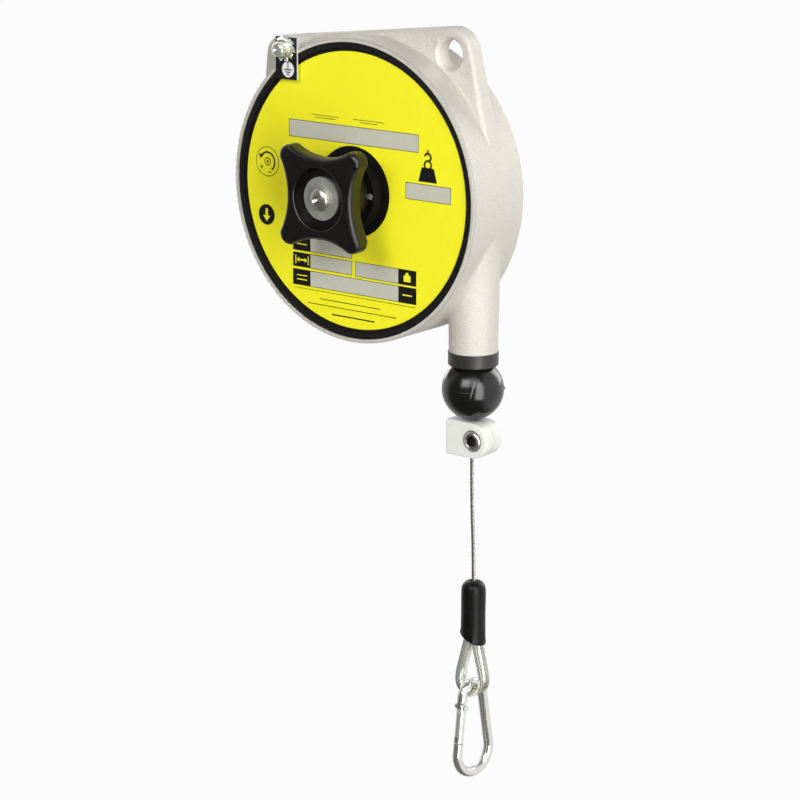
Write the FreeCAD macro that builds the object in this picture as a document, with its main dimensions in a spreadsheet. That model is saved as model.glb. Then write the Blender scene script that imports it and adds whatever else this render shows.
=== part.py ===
"""Spring balancer that hangs a hand tool on a wire rope.

Frame: origin in the middle of the suspension hole, +Z up, the label and knob face -Y.
The drum axis runs along Y, below and to the left of the suspension hole. Millimetres.
"""
import FreeCAD, Part
import os
from math import atan2, cos, degrees, hypot, pi, radians, sin, sqrt, tan

import Sketcher
from FreeCAD import Placement, Rotation, Vector

# Driving dimensions. Case, cover, drum and knob: radii about the drum axis, depths measured
# back from the label's front face. Rope line: heights measured down from the drum axis.
DIMENSIONS = {
    "case_radius": 74.5,
    "case_back": 39.2,
    "rim_proud": 2.0,
    "seat_radius": 72.6,
    "seat_depth": 3.3,
    "groove_radius": 73.4,
    "chamber_radius": 70.4,
    "chamber_back": 35.0,
    "case_round": 2.5,
    "rim_round": 0.7,
    "tube_blend": 3.0,
    "ear_front": 15.0,
    "ear_thick": 10.0,
    "ear_round": 2.4,
    "hole_x": 46.2,
    "hole_z": 69.0,
    "hole_radius": 7.0,
    "hole_chamfer": 1.4,
    "right_ear_radius": 12.8,
    "left_ear_x": 59.0,
    "left_ear_z": 60.2,
    "left_ear_radius": 9.5,
    "earth_x": 40.0,
    "earth_z": 66.5,
    "earth_boss_radius": 6.0,
    "earth_screw_radius": 2.5,
    "earth_hole_depth": 14.0,
    "rope_x": 60.0,
    "rope_y": 18.4,
    "rope_radius": 1.0,
    "tube_radius": 12.0,
    "tube_end": 73.4,
    "tube_draft": 0.5,
    "tube_bore": 6.0,
    "spigot_radius": 9.0,
    "spigot_length": 10.0,
    "label_thick": 0.3,
    "label_radius": 68.0,
    "label_hole": 22.4,
    "cover_radius": 72.4,
    "cover_bore": 10.0,
    "ring_inner": 69.8,
    "ring_outer": 73.2,
    "ring_front": 1.1,
    "ring_gap_angle": 10.0,
    "ring_gap_at": 24.0,
    "collar_flange": 22.2,
    "collar_hub": 17.0,
    "collar_front": 5.5,
    "collar_screw_pitch": 15.0,
    "collar_screw_radius": 1.6,
    "collar_screw_depth": 1.2,
    "collar_screw_count": 3,
    "journal_radius": 7.0,
    "running_gap": 0.05,
    "rear_boss_radius": 13.0,
    "rear_boss_front": 32.0,
    "rear_bush_radius": 9.0,
    "rear_bush_back": 36.4,
    "knob_front": 27.4,
    "knob_back": 17.8,
    "lobe_pitch": 19.2,
    "lobe_radius": 5.2,
    "waist_radius": 36.5,
    "knob_round": 2.4,
    "knob_hub_radius": 14.0,
    "knob_hub_back": 6.0,
    "knob_recess_radius": 15.0,
    "knob_recess_depth": 4.4,
    "knob_recess_round": 0.9,
    "drive_half": 4.0,
    "washer_radius": 10.5,
    "washer_thick": 1.6,
    "knob_screw_radius": 3.0,
    "knob_screw_head": 5.6,
    "knob_screw_head_height": 3.6,
    "ratchet_seat": 8.0,
    "ratchet_tip": 22.0,
    "ratchet_root": 19.4,
    "ratchet_teeth": 24,
    "ratchet_front": 4.4,
    "ratchet_thick": 3.6,
    "pawl_length": 24.0,
    "pawl_thick": 0.7,
    "pawl_tip_gap": 0.4,
    "pawl_lean": 20.0,
    "rivet_radius": 1.5,
    "spring_hub_radius": 12.0,
    "spring_hub_front": 11.9,
    "spring_hub_back": 26.0,
    "barrel_radius": 58.9,
    "barrel_inner": 54.0,
    "drum_flange": 68.5,
    "drum_front": 9.5,
    "drum_back": 31.0,
    "flange_thick": 2.2,
    "drum_hub_radius": 13.0,
    "drum_hub_front": 26.5,
    "drum_bush_radius": 9.0,
    "lid_radius": 57.0,
    "lid_thick": 1.5,
    "lid_screw_pitch": 55.4,
    "lid_screw_count": 4,
    "spring_inner": 12.6,
    "spring_pitch": 4.4,
    "spring_turns": 9,
    "spring_strip": 0.6,
    "spring_front": 12.2,
    "spring_width": 13.5,
    "winding_back": 27.6,
    "bush_radius": 12.3,
    "bush_height": 6.9,
    "bush_chamfer": 0.5,
    "bush_bore": 2.2,
    "ball_centre": 92.5,
    "ball_radius": 15.2,
    "ball_bore": 1.25,
    "clamp_top": 107.9,
    "clamp_height": 17.6,
    "clamp_depth": 14.0,
    "clamp_flat": 11.1,
    "clamp_round_x": 4.5,
    "clamp_corner": 0.8,
    "clamp_split": 0.1,
    "clamp_screw_x": 4.9,
    "clamp_screw_radius": 3.0,
    "clamp_head_radius": 5.0,
    "clamp_head_height": 6.0,
    "clamp_head_proud": 0.9,
    "clamp_head_seat": 5.4,
    "clamp_socket_flats": 5.0,
    "clamp_nut_flats": 10.0,
    "clamp_nut_height": 5.0,
    "rope_lean": 2.0,
    "sleeve_top": 190.0,
    "sleeve_length": 33.5,
    "sleeve_radius": 6.3,
    "sleeve_wall": 0.85,
    "sleeve_slant": 7.7,
    "ferrule_top": 199.0,
    "ferrule_bottom": 213.5,
    "ferrule_pitch": 1.3,
    "ferrule_radius": 1.9,
    "eye_centre": 242.25,
    "eye_section_path": 8.0,
    "thimble_outer": 3.6,
    "thimble_inner": 3.0,
    "thimble_top": 25.2,
    "eye_side_bend": 24.0,
    "eye_leg_angle": 14.5,
    "eye_splice_bend": 10.0,
    "carabiner_rod": 2.5,
    "carabiner_top_bend": 7.1,
    "carabiner_bottom_bend": 11.1,
    "carabiner_hinge_drop": 4.6,
    "carabiner_gate_run": 24.7,
    "carabiner_turn": -8.0,
    "carabiner_lean": 2.0,
    "carabiner_rest_gap": 0.25,
    "gate_radius": 2.3,
    "gate_length": 18.6,
    "shoulder_gap": 0.45,
    "gate_slot": 2.5,
    "gate_tongue": 2.0,
    "nose_slot": 2.2,
    "nose_tongue": 1.6,
    "gate_pin_radius": 0.9,
    "gate_pin_head": 1.5,
}

doc = FreeCAD.newDocument("spring_balancer")
dim = doc.addObject("Spreadsheet::Sheet", "dim")
for row, (alias, number) in enumerate(DIMENSIONS.items(), start=1):
    dim.set("A%d" % row, alias)
    dim.set("B%d" % row, str(number))
    dim.setAlias("B%d" % row, alias)
doc.recompute()

subparts = []


def value(expression):
    return float(dim.evalExpression(expression))


def new_body(label):
    body = doc.addObject("PartDesign::Body", label)
    body.Label = label
    body.AllowCompound = True
    subparts.append(body)
    return body


def place(part, x, y, z):
    for axis, expression in zip("xyz", (x, y, z)):
        part.setExpression("Placement.Base." + axis, expression)


def at_drum(part):
    """Put the part's own origin on the drum axis, level with the label's front face."""
    place(part, "-dim.hole_x", "-(dim.ear_front + dim.ear_thick / 2)", "-dim.hole_z")


def rope_point(drop, lean="0"):
    """A point on the rope line, a drop below the drum axis."""
    return ("dim.rope_x + %s - dim.hole_x" % lean,
            "dim.rope_y - dim.ear_front - dim.ear_thick / 2",
            "-(%s) - dim.hole_z" % drop)


def sketch_on(body, name, role, start):
    """Sketch square to the axis that the plane's role leaves out, at start along that axis."""
    sketch = body.newObject("Sketcher::SketchObject", name)
    plane = next(f for f in body.Origin.OriginFeatures if f.Role == role)
    sketch.AttachmentSupport = [(plane, "")]
    sketch.MapMode = "FlatFace"
    sign = "-" if role == "XZ_Plane" else ""
    sketch.setExpression("AttachmentOffset.Base.z", "%s(%s)" % (sign, start))
    return sketch


def pin_point(sketch, geometry, point, x, y):
    for kind, expression in (("DistanceX", x), ("DistanceY", y)):
        constraint = Sketcher.Constraint(kind, -1, 1, geometry, point, value(expression))
        index = sketch.addConstraint(constraint)
        sketch.setExpression("Constraints[%d]" % index, expression)


def set_radius(sketch, geometry, expression):
    index = sketch.addConstraint(Sketcher.Constraint("Radius", geometry, value(expression)))
    sketch.setExpression("Constraints[%d]" % index, expression)


def polygon(sketch, corners):
    points = [Vector(value(x), value(y), 0) for x, y in corners]
    first = sketch.GeometryCount
    count = len(points)
    for i in range(count):
        sketch.addGeometry(Part.LineSegment(points[i], points[(i + 1) % count]))
    for i in range(count):
        sketch.addConstraint(Sketcher.Constraint("Coincident", first + i, 2, first + (i + 1) % count, 1))
    for i, (x, y) in enumerate(corners):
        pin_point(sketch, first + i, 1, x, y)


def circle(sketch, x, y, radius):
    centre = Vector(value(x), value(y), 0)
    index = sketch.addGeometry(Part.Circle(centre, Vector(0, 0, 1), value(radius)))
    pin_point(sketch, index, 3, x, y)
    set_radius(sketch, index, radius)


def rectangle(sketch, low_x, low_y, high_x, high_y):
    polygon(sketch, [(low_x, low_y), (high_x, low_y), (high_x, high_y), (low_x, high_y)])


def hexagon(sketch, x, flats):
    corner = "%s / sqrt(3)" % flats
    half = "%s / 2" % flats
    polygon(sketch, [("%s + %s" % (x, corner), "0"), ("%s + %s / 2" % (x, corner), half),
                     ("%s - %s / 2" % (x, corner), half), ("%s - %s" % (x, corner), "0"),
                     ("%s - %s / 2" % (x, corner), "-" + half), ("%s + %s / 2" % (x, corner), "-" + half)])


def belt(sketch, circles):
    """Outline of a belt round the circles, given anticlockwise: arcs joined by tangent lines."""
    centres = [Vector(value(x), value(y), 0) for x, y, _ in circles]
    sizes = [value(size) for _, _, size in circles]
    count = len(circles)
    normals = []
    for i in range(count):
        along = centres[(i + 1) % count] - centres[i]
        ratio = (sizes[i] - sizes[(i + 1) % count]) / along.Length
        along.normalize()
        across = Vector(along.y, -along.x, 0)
        normals.append(along * ratio + across * sqrt(1 - ratio * ratio))
    for i, (x, y, size) in enumerate(circles):
        start = atan2(normals[i - 1].y, normals[i - 1].x)
        end = atan2(normals[i].y, normals[i].x)
        whole = Part.Circle(centres[i], Vector(0, 0, 1), sizes[i])
        sketch.addGeometry(Part.ArcOfCircle(whole, start, end if end > start else end + 2 * pi))
    for i in range(count):
        j = (i + 1) % count
        line = Part.LineSegment(centres[i] + normals[i] * sizes[i], centres[j] + normals[i] * sizes[j])
        sketch.addGeometry(line)
    for i, (x, y, size) in enumerate(circles):
        pin_point(sketch, i, 3, x, y)
        set_radius(sketch, i, size)
    for i in range(count):
        sketch.addConstraint(Sketcher.Constraint("Tangent", count + i, 1, i, 2))
        sketch.addConstraint(Sketcher.Constraint("Tangent", count + i, 2, (i + 1) % count, 1))


def extrude(body, name, role, start, length, draw, cut=False):
    """Pad or pocket from start towards the positive end of the axis square to the plane."""
    sketch = sketch_on(body, name + "_sketch", role, start)
    draw(sketch)
    feature = body.newObject("PartDesign::Pocket" if cut else "PartDesign::Pad", name)
    feature.Profile = sketch
    feature.setExpression("Length", length)
    feature.Reversed = cut != (role == "XZ_Plane")
    return feature


def turn(body, name, corners, about_z=False, cut=False, angle="360"):
    """Turn an outline of (radius, position) corners about Y, or about Z."""
    sketch = sketch_on(body, name + "_sketch", "XZ_Plane" if about_z else "XY_Plane", "0")
    polygon(sketch, corners)
    return spin(body, name, sketch, cut, angle)


def spin(body, name, sketch, cut=False, angle="360"):
    feature = body.newObject("PartDesign::Groove" if cut else "PartDesign::Revolution", name)
    feature.Profile = sketch
    feature.ReferenceAxis = (sketch, ["V_Axis"])
    feature.setExpression("Angle", angle)
    return feature


def repeat_round(body, name, features, count):
    """Copies of the features about the drum axis."""
    pattern = body.newObject("PartDesign::PolarPattern", name)
    pattern.Originals = features
    axis = next(f for f in body.Origin.OriginFeatures if f.Role == "Y_Axis")
    pattern.Axis = (axis, [""])
    pattern.Angle = 360
    pattern.setExpression("Occurrences", count)
    body.Tip = pattern
    return pattern


def dress(body, name, size, chosen, kind="Fillet"):
    """Fillet or chamfer of the edges that the test chooses."""
    doc.recompute()
    base = body.Tip
    edges = ["Edge%d" % (i + 1) for i, edge in enumerate(base.Shape.Edges) if chosen(edge)]
    feature = body.newObject("PartDesign::" + kind, name)
    feature.Base = (base, edges)
    feature.setExpression("Radius" if kind == "Fillet" else "Size", size)
    return feature


def flat_edge(edge, axis, at):
    """Whether the whole edge lies at one place along an axis."""
    box = edge.BoundBox
    low, high = getattr(box, axis + "Min"), getattr(box, axis + "Max")
    return abs(low - at) < 1e-3 and abs(high - at) < 1e-3


def is_circle(edge, radius):
    return hasattr(edge.Curve, "Radius") and abs(edge.Curve.Radius - radius) < 1e-3


def pipe(body, name, path, profile):
    feature = body.newObject("PartDesign::AdditivePipe", name)
    feature.Profile = profile
    feature.Spine = (path, [])
    return feature


# Case: a cast cup with the suspension ears on one plate, the rope outlet tube and the earth boss.
housing = new_body("housing")
at_drum(housing)
ear_back = "dim.ear_front + dim.ear_thick"
extrude(housing, "ear_plate", "XZ_Plane", "dim.ear_front", "dim.ear_thick", lambda s: belt(s, [
    ("0", "0", "dim.case_radius - 0.4"),
    ("dim.hole_x", "dim.hole_z", "dim.right_ear_radius"),
    ("-dim.left_ear_x", "dim.left_ear_z", "dim.left_ear_radius")]))
dress(housing, "ear_edges", "dim.ear_round",
      lambda e: flat_edge(e, "Y", value("dim.ear_front")) or flat_edge(e, "Y", value(ear_back)))
turn(housing, "drum_case", [("0", "-dim.rim_proud"), ("dim.case_radius", "-dim.rim_proud"),
                            ("dim.case_radius", "dim.case_back"), ("0", "dim.case_back")])
dress(housing, "rim_edge", "dim.rim_round",
      lambda e: flat_edge(e, "Y", -value("dim.rim_proud")) and is_circle(e, value("dim.case_radius")))
dress(housing, "case_back_edge", "dim.case_round",
      lambda e: flat_edge(e, "Y", value("dim.case_back")) and is_circle(e, value("dim.case_radius")))
tube = extrude(housing, "outlet_tube", "XY_Plane", "-dim.tube_end", "dim.tube_end",
               lambda s: circle(s, "dim.rope_x", "dim.rope_y", "dim.tube_radius"))
tube.setExpression("TaperAngle", "dim.tube_draft")
dress(housing, "tube_root", "dim.tube_blend",
      lambda e: e.BoundBox.ZMin > -70 and e.BoundBox.ZMax < -5 and e.BoundBox.XMin > 40)
extrude(housing, "earth_boss", "XZ_Plane", "-dim.rim_proud", "dim.ear_front + dim.rim_proud + 1",
        lambda s: circle(s, "-dim.earth_x", "dim.earth_z", "dim.earth_boss_radius"))
turn(housing, "drum_chamber", [
    ("0", "-dim.rim_proud - 1"), ("dim.seat_radius", "-dim.rim_proud - 1"),
    ("dim.seat_radius", "-dim.ring_front"), ("dim.groove_radius", "-dim.ring_front"),
    ("dim.groove_radius", "dim.label_thick"), ("dim.seat_radius", "dim.label_thick"),
    ("dim.seat_radius", "dim.seat_depth"), ("dim.chamber_radius", "dim.seat_depth"),
    ("dim.chamber_radius", "dim.chamber_back"), ("dim.rear_boss_radius", "dim.chamber_back"),
    ("dim.rear_boss_radius", "dim.rear_boss_front"), ("dim.rear_bush_radius", "dim.rear_boss_front"),
    ("dim.rear_bush_radius", "dim.rear_bush_back"), ("0", "dim.rear_bush_back")], cut=True)
extrude(housing, "rope_passage", "XY_Plane", "-dim.tube_end", "dim.tube_end - 20",
        lambda s: circle(s, "dim.rope_x", "dim.rope_y", "dim.tube_bore"), cut=True)
extrude(housing, "bush_seat", "XY_Plane", "-dim.tube_end", "dim.spigot_length",
        lambda s: circle(s, "dim.rope_x", "dim.rope_y", "dim.spigot_radius"), cut=True)
extrude(housing, "earth_thread", "XZ_Plane", "-dim.rim_proud", "dim.earth_hole_depth",
        lambda s: circle(s, "-dim.earth_x", "dim.earth_z", "dim.earth_screw_radius"), cut=True)
extrude(housing, "suspension_hole", "XZ_Plane", "dim.ear_front", "dim.ear_thick",
        lambda s: circle(s, "dim.hole_x", "dim.hole_z", "dim.hole_radius"), cut=True)
dress(housing, "suspension_hole_edges", "dim.hole_chamfer",
      lambda e: is_circle(e, value("dim.hole_radius")), "Chamfer")

# Front cover: black disc on the seat in the mouth of the case, under the label.
cover = new_body("front_cover")
at_drum(cover)
turn(cover, "disc", [("dim.cover_bore", "dim.label_thick"), ("dim.cover_radius", "dim.label_thick"),
                     ("dim.cover_radius", "dim.seat_depth"), ("dim.cover_bore", "dim.seat_depth")])

label = new_body("front_label")
at_drum(label)
turn(label, "sheet", [("dim.label_hole", "0"), ("dim.label_radius", "0"),
                      ("dim.label_radius", "dim.label_thick"), ("dim.label_hole", "dim.label_thick")])

# Internal snap ring in its groove in front of the cover; the turn leaves the gap open.
ring = new_body("retaining_ring")
at_drum(ring)
turn(ring, "ring", [("dim.ring_inner", "-dim.ring_front"), ("dim.ring_outer", "-dim.ring_front"),
                    ("dim.ring_outer", "dim.label_thick"), ("dim.ring_inner", "dim.label_thick")],
     angle="360 - dim.ring_gap_angle")
ring.Placement.Rotation = Rotation(Vector(0, 1, 0), value("dim.ring_gap_angle / 2 - dim.ring_gap_at"))

# Stepped collar that carries the knob's shaft in the cover, and its screws.
collar = new_body("knob_collar")
at_drum(collar)
collar_bore = "dim.journal_radius + dim.running_gap"
turn(collar, "flange", [
    (collar_bore, "dim.seat_depth"), ("dim.cover_bore", "dim.seat_depth"),
    ("dim.cover_bore", "dim.label_thick"), ("dim.collar_flange", "dim.label_thick"),
    ("dim.collar_flange", "-0.8"), ("dim.collar_hub + 1.6", "-1.6"),
    ("dim.collar_hub", "-dim.collar_front"), (collar_bore, "-dim.collar_front")])
collar_screws = new_body("collar_screws")
at_drum(collar_screws)
for part, name, proud, cut in ((collar, "pocket", "0", True), (collar_screws, "head", "0.2", False)):
    seat = extrude(part, "screw_" + name, "XZ_Plane", "%s - dim.collar_front" % proud,
                   "dim.collar_screw_depth - %s" % proud,
                   lambda s: circle(s, "dim.collar_screw_pitch", "0", "dim.collar_screw_radius"), cut)
    repeat_round(part, "screw_%ss" % name, [seat], "dim.collar_screw_count")

# Tension knob: four rounded lobes with hollow flanks, a hub behind and a round recess in front.
knob = new_body("tension_knob")
at_drum(knob)
pitch = "dim.lobe_pitch"
extrude(knob, "lobes", "XZ_Plane", "-dim.knob_front", "dim.knob_front - dim.knob_back", lambda s: belt(s, [
    ("-" + pitch, "-" + pitch, "dim.lobe_radius"), (pitch, "-" + pitch, "dim.lobe_radius"),
    (pitch, pitch, "dim.lobe_radius"), ("-" + pitch, pitch, "dim.lobe_radius")]))
waist_at = "dim.lobe_pitch + sqrt((dim.waist_radius + dim.lobe_radius)^2 - dim.lobe_pitch^2)"
waist = extrude(knob, "waist", "XZ_Plane", "-dim.knob_front", "dim.knob_front - dim.knob_back",
                lambda s: circle(s, waist_at, "0", "dim.waist_radius"), cut=True)
repeat_round(knob, "waists", [waist], "4")
dress(knob, "lobe_edges", "dim.knob_round",
      lambda e: flat_edge(e, "Y", -value("dim.knob_front")) or flat_edge(e, "Y", -value("dim.knob_back")))
extrude(knob, "hub", "XZ_Plane", "-dim.knob_back", "dim.knob_back - dim.knob_hub_back",
        lambda s: circle(s, "0", "0", "dim.knob_hub_radius"))
extrude(knob, "recess", "XZ_Plane", "-dim.knob_front", "dim.knob_recess_depth",
        lambda s: circle(s, "0", "0", "dim.knob_recess_radius"), cut=True)
dress(knob, "recess_edge", "dim.knob_recess_round", lambda e: flat_edge(e, "Y", -value("dim.knob_front"))
      and is_circle(e, value("dim.knob_recess_radius")))
extrude(knob, "drive_hole", "XZ_Plane", "-dim.knob_front", "dim.knob_front - dim.knob_hub_back",
        lambda s: rectangle(s, "-dim.drive_half", "-dim.drive_half", "dim.drive_half", "dim.drive_half"),
        cut=True)

washer_back = "(dim.knob_recess_depth - dim.knob_front)"
washer_front = "(%s - dim.washer_thick)" % washer_back
washer = new_body("knob_washer")
at_drum(washer)
turn(washer, "plate", [("dim.knob_screw_radius + 0.2", washer_front), ("dim.washer_radius", washer_front),
                       ("dim.washer_radius", washer_back), ("dim.knob_screw_radius + 0.2", washer_back)])

knob_screw = new_body("knob_screw")
at_drum(knob_screw)
head_top = "(%s - dim.knob_screw_head_height)" % washer_front
turn(knob_screw, "screw", [
    ("0", head_top), ("dim.knob_screw_head - 2.2", head_top + " + 0.4"),
    ("dim.knob_screw_head", head_top + " + 1.9"), ("dim.knob_screw_head", washer_front),
    ("dim.knob_screw_radius", washer_front),
    ("dim.knob_screw_radius", washer_front + " + 14"), ("0", washer_front + " + 14")])
for name, wide, tall in (("slot_across", "2.6", "0.7"), ("slot_upright", "0.7", "2.6")):
    extrude(knob_screw, name, "XZ_Plane", head_top, "1.8",
            lambda s: rectangle(s, "-" + wide, "-" + tall, wide, tall), cut=True)

# Arbor: journal in the collar, ratchet seat, hub for the spring's inner end, rear journal.
arbor = new_body("spring_arbor")
at_drum(arbor)
arbor_front = "(-dim.knob_hub_back + 0.2)"
turn(arbor, "shaft", [
    ("0", arbor_front), ("dim.journal_radius", arbor_front),
    ("dim.journal_radius", "dim.ratchet_front"), ("dim.ratchet_seat", "dim.ratchet_front"),
    ("dim.ratchet_seat", "dim.spring_hub_front"), ("dim.spring_hub_radius", "dim.spring_hub_front"),
    ("dim.spring_hub_radius", "dim.spring_hub_back"), ("dim.journal_radius", "dim.spring_hub_back"),
    ("dim.journal_radius", "dim.rear_bush_back - 0.3"), ("0", "dim.rear_bush_back - 0.3")])
drive_front = "(%s + 0.4)" % washer_back
extrude(arbor, "drive_square", "XZ_Plane", drive_front, "%s - %s" % (arbor_front, drive_front),
        lambda s: rectangle(s, "-dim.drive_half", "-dim.drive_half", "dim.drive_half", "dim.drive_half"))
extrude(arbor, "screw_thread", "XZ_Plane", drive_front, "14",
        lambda s: circle(s, "0", "0", "dim.knob_screw_radius"), cut=True)
extrude(arbor, "spring_slot", "XZ_Plane", "dim.spring_hub_front",
        "dim.spring_hub_back - dim.spring_hub_front",
        lambda s: rectangle(s, "dim.spring_hub_radius - 3", "-0.5", "dim.spring_hub_radius + 1", "0.5"),
        cut=True)

# Ratchet wheel on the arbor: steep tooth faces hold against the spring.
ratchet = new_body("ratchet_wheel")
at_drum(ratchet)
extrude(ratchet, "disc", "XZ_Plane", "dim.ratchet_front", "dim.ratchet_thick",
        lambda s: circle(s, "0", "0", "dim.ratchet_root"))
tooth_angle = "(360 / dim.ratchet_teeth * 1deg)"
tooth = extrude(ratchet, "tooth", "XZ_Plane", "dim.ratchet_front", "dim.ratchet_thick", lambda s: polygon(s, [
    ("0", "dim.ratchet_root - 1"), ("0", "dim.ratchet_tip"),
    ("-dim.ratchet_root * sin(%s)" % tooth_angle, "dim.ratchet_root * cos(%s)" % tooth_angle)]))
repeat_round(ratchet, "teeth", [tooth], "dim.ratchet_teeth")
extrude(ratchet, "bore", "XZ_Plane", "dim.ratchet_front", "dim.ratchet_thick",
        lambda s: circle(s, "0", "0", "dim.ratchet_seat"), cut=True)

# Leaf pawl of spring steel, riveted to the back of the cover; its own X runs from tip to foot.
pawl_tip = Vector(value("dim.pawl_tip_gap"), 0, value("dim.ratchet_root + 1.1"))
drum_depth = value("-(dim.ear_front + dim.ear_thick / 2)")
drum_origin = Vector(value("-dim.hole_x"), drum_depth, value("-dim.hole_z"))
pawl_place = Placement(drum_origin + pawl_tip, Rotation(Vector(0, 1, 0), -value("dim.pawl_lean")))
pawl = new_body("pawl_leaf")
pawl.Placement = pawl_place
extrude(pawl, "leaf", "XZ_Plane", "dim.ratchet_front", "dim.ratchet_thick",
        lambda s: rectangle(s, "0", "-dim.pawl_thick / 2", "dim.pawl_length", "dim.pawl_thick / 2"))
extrude(pawl, "foot", "XZ_Plane", "dim.seat_depth", "dim.ratchet_front + dim.ratchet_thick - dim.seat_depth",
        lambda s: rectangle(s, "dim.pawl_length - 1", "-4", "dim.pawl_length + 11", "4"))
rivets = new_body("pawl_rivets")
rivets.Placement = pawl_place
for number, along in enumerate(("dim.pawl_length + 2", "dim.pawl_length + 8")):
    for target, name, cut in ((pawl, "rivet_hole", True), (rivets, "rivet", False)):
        extrude(target, "%s_%d" % (name, number), "XZ_Plane", "dim.seat_depth",
                "dim.ratchet_front + dim.ratchet_thick - dim.seat_depth",
                lambda s: circle(s, along, "0", "dim.rivet_radius"), cut)

rear_bush = new_body("rear_bush")
at_drum(rear_bush)
turn(rear_bush, "bearing", [
    (collar_bore, "dim.rear_boss_front"), ("dim.rear_bush_radius", "dim.rear_boss_front"),
    ("dim.rear_bush_radius", "dim.rear_bush_back - 0.2"), (collar_bore, "dim.rear_bush_back - 0.2")])

# Drum: a flanged cup; the rope winds outside, the spring lies inside.
drum = new_body("drum")
at_drum(drum)
web_front = "(dim.drum_back - dim.flange_thick)"
lid_back = "(dim.drum_front + dim.lid_thick)"
turn(drum, "cup", [
    ("dim.drum_bush_radius", "dim.drum_hub_front"), ("dim.drum_hub_radius", "dim.drum_hub_front"),
    ("dim.drum_hub_radius", web_front), ("dim.barrel_inner", web_front),
    ("dim.barrel_inner", lid_back), ("dim.lid_radius", lid_back),
    ("dim.lid_radius", "dim.drum_front"), ("dim.drum_flange", "dim.drum_front"),
    ("dim.drum_flange", "dim.drum_front + dim.flange_thick"),
    ("dim.barrel_radius", "dim.drum_front + dim.flange_thick"),
    ("dim.barrel_radius", web_front), ("dim.drum_flange", web_front),
    ("dim.drum_flange", "dim.drum_back"), ("dim.drum_bush_radius", "dim.drum_back")])

lid = new_body("drum_cover")
at_drum(lid)
lid_bore = "(dim.ratchet_seat + 2.5)"
turn(lid, "disc", [(lid_bore, "dim.drum_front"), ("dim.lid_radius", "dim.drum_front"),
                   ("dim.lid_radius", lid_back), (lid_bore, lid_back)])
lid_screws = new_body("drum_cover_screws")
at_drum(lid_screws)
lid_head = extrude(lid_screws, "head", "XZ_Plane", "dim.drum_front - 1", "1",
                   lambda s: circle(s, "dim.lid_screw_pitch", "0", "1.5"))
repeat_round(lid_screws, "heads", [lid_head], "dim.lid_screw_count")

drum_bushes = new_body("drum_bushes")
at_drum(drum_bushes)
front_bore = "(dim.ratchet_seat + dim.running_gap)"
turn(drum_bushes, "rear", [
    (collar_bore, "dim.drum_hub_front"), ("dim.drum_bush_radius", "dim.drum_hub_front"),
    ("dim.drum_bush_radius", "dim.drum_back"), (collar_bore, "dim.drum_back")])
turn(drum_bushes, "front", [(front_bore, "dim.drum_front"), (lid_bore, "dim.drum_front"),
                            (lid_bore, lid_back), (front_bore, lid_back)])


def spiral(sketch):
    """Flat spring, clockwise outwards: half turns about two centres, half a pitch apart."""
    pitch_mm = value("dim.spring_pitch")
    strip = value("dim.spring_strip")
    faces = []
    for extra in (0, strip):
        arcs = []
        for half_turn in range(2 * int(value("dim.spring_turns"))):
            centre = Vector(pitch_mm / 2 * (half_turn % 2), 0, 0)
            size = value("dim.spring_inner") + pitch_mm / 2 * half_turn + extra
            start = pi * (1 - half_turn % 2)
            arcs.append(Part.ArcOfCircle(Part.Circle(centre, Vector(0, 0, 1), size), start, start + pi))
        faces.append(arcs)
    inner, outer = faces
    ends = [Part.LineSegment(inner[0].EndPoint, outer[0].EndPoint),
            Part.LineSegment(inner[-1].StartPoint, outer[-1].StartPoint)]
    sketch.addGeometry(inner + outer + ends)
    count = len(inner)
    for i in range(count - 1):
        sketch.addConstraint(Sketcher.Constraint("Coincident", i, 1, i + 1, 2))
        sketch.addConstraint(Sketcher.Constraint("Coincident", count + i, 1, count + i + 1, 2))
    for end, point, first, last in ((2 * count, 2, 0, count), (2 * count + 1, 1, count - 1, 2 * count - 1)):
        sketch.addConstraint(Sketcher.Constraint("Coincident", end, 1, first, point))
        sketch.addConstraint(Sketcher.Constraint("Coincident", end, 2, last, point))


spring = new_body("power_spring")
at_drum(spring)
extrude(spring, "strip", "XZ_Plane", "dim.spring_front", "dim.spring_width", spiral)
extrude(spring, "inner_hook", "XZ_Plane", "dim.spring_front", "dim.spring_width",
        lambda s: rectangle(s, "dim.spring_hub_radius - 2.6", "-dim.spring_strip / 2",
                            "dim.spring_inner + dim.spring_strip", "dim.spring_strip / 2"))

# Wound rope: the stored turns as one band, and the turn that leaves the drum at the outlet.
winding = new_body("rope_winding")
at_drum(winding)
winding_inner = "(dim.rope_x - dim.rope_radius)"
winding_outer = "(dim.rope_x + dim.rope_radius)"
turn(winding, "band", [(winding_inner, "dim.rope_y + dim.rope_radius + 0.1"),
                       (winding_outer, "dim.rope_y + dim.rope_radius + 0.1"),
                       (winding_outer, "dim.winding_back"), (winding_inner, "dim.winding_back")])
last_turn = sketch_on(winding, "last_turn_sketch", "XY_Plane", "0")
circle(last_turn, "dim.rope_x", "dim.rope_y + 0.3", "dim.rope_radius")
spin(winding, "last_turn", last_turn, angle="310").Reversed = True

# Outlet bush: spigot in the tube, hollow seat for the ball below. Its origin is the tube's end.
bush = new_body("outlet_bush")
place(bush, *rope_point("dim.tube_end"))
turn(bush, "bush", [
    ("dim.bush_bore", "dim.spigot_length"), ("dim.spigot_radius", "dim.spigot_length"),
    ("dim.spigot_radius", "0"), ("dim.bush_radius", "0"),
    ("dim.bush_radius", "-dim.bush_height + dim.bush_chamfer"),
    ("dim.bush_radius - dim.bush_chamfer", "-dim.bush_height"), ("9.6", "-dim.bush_height"),
    ("6", "-dim.bush_height + 2.4"), ("dim.bush_bore", "-dim.bush_height + 3.4")], about_z=True)

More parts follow.
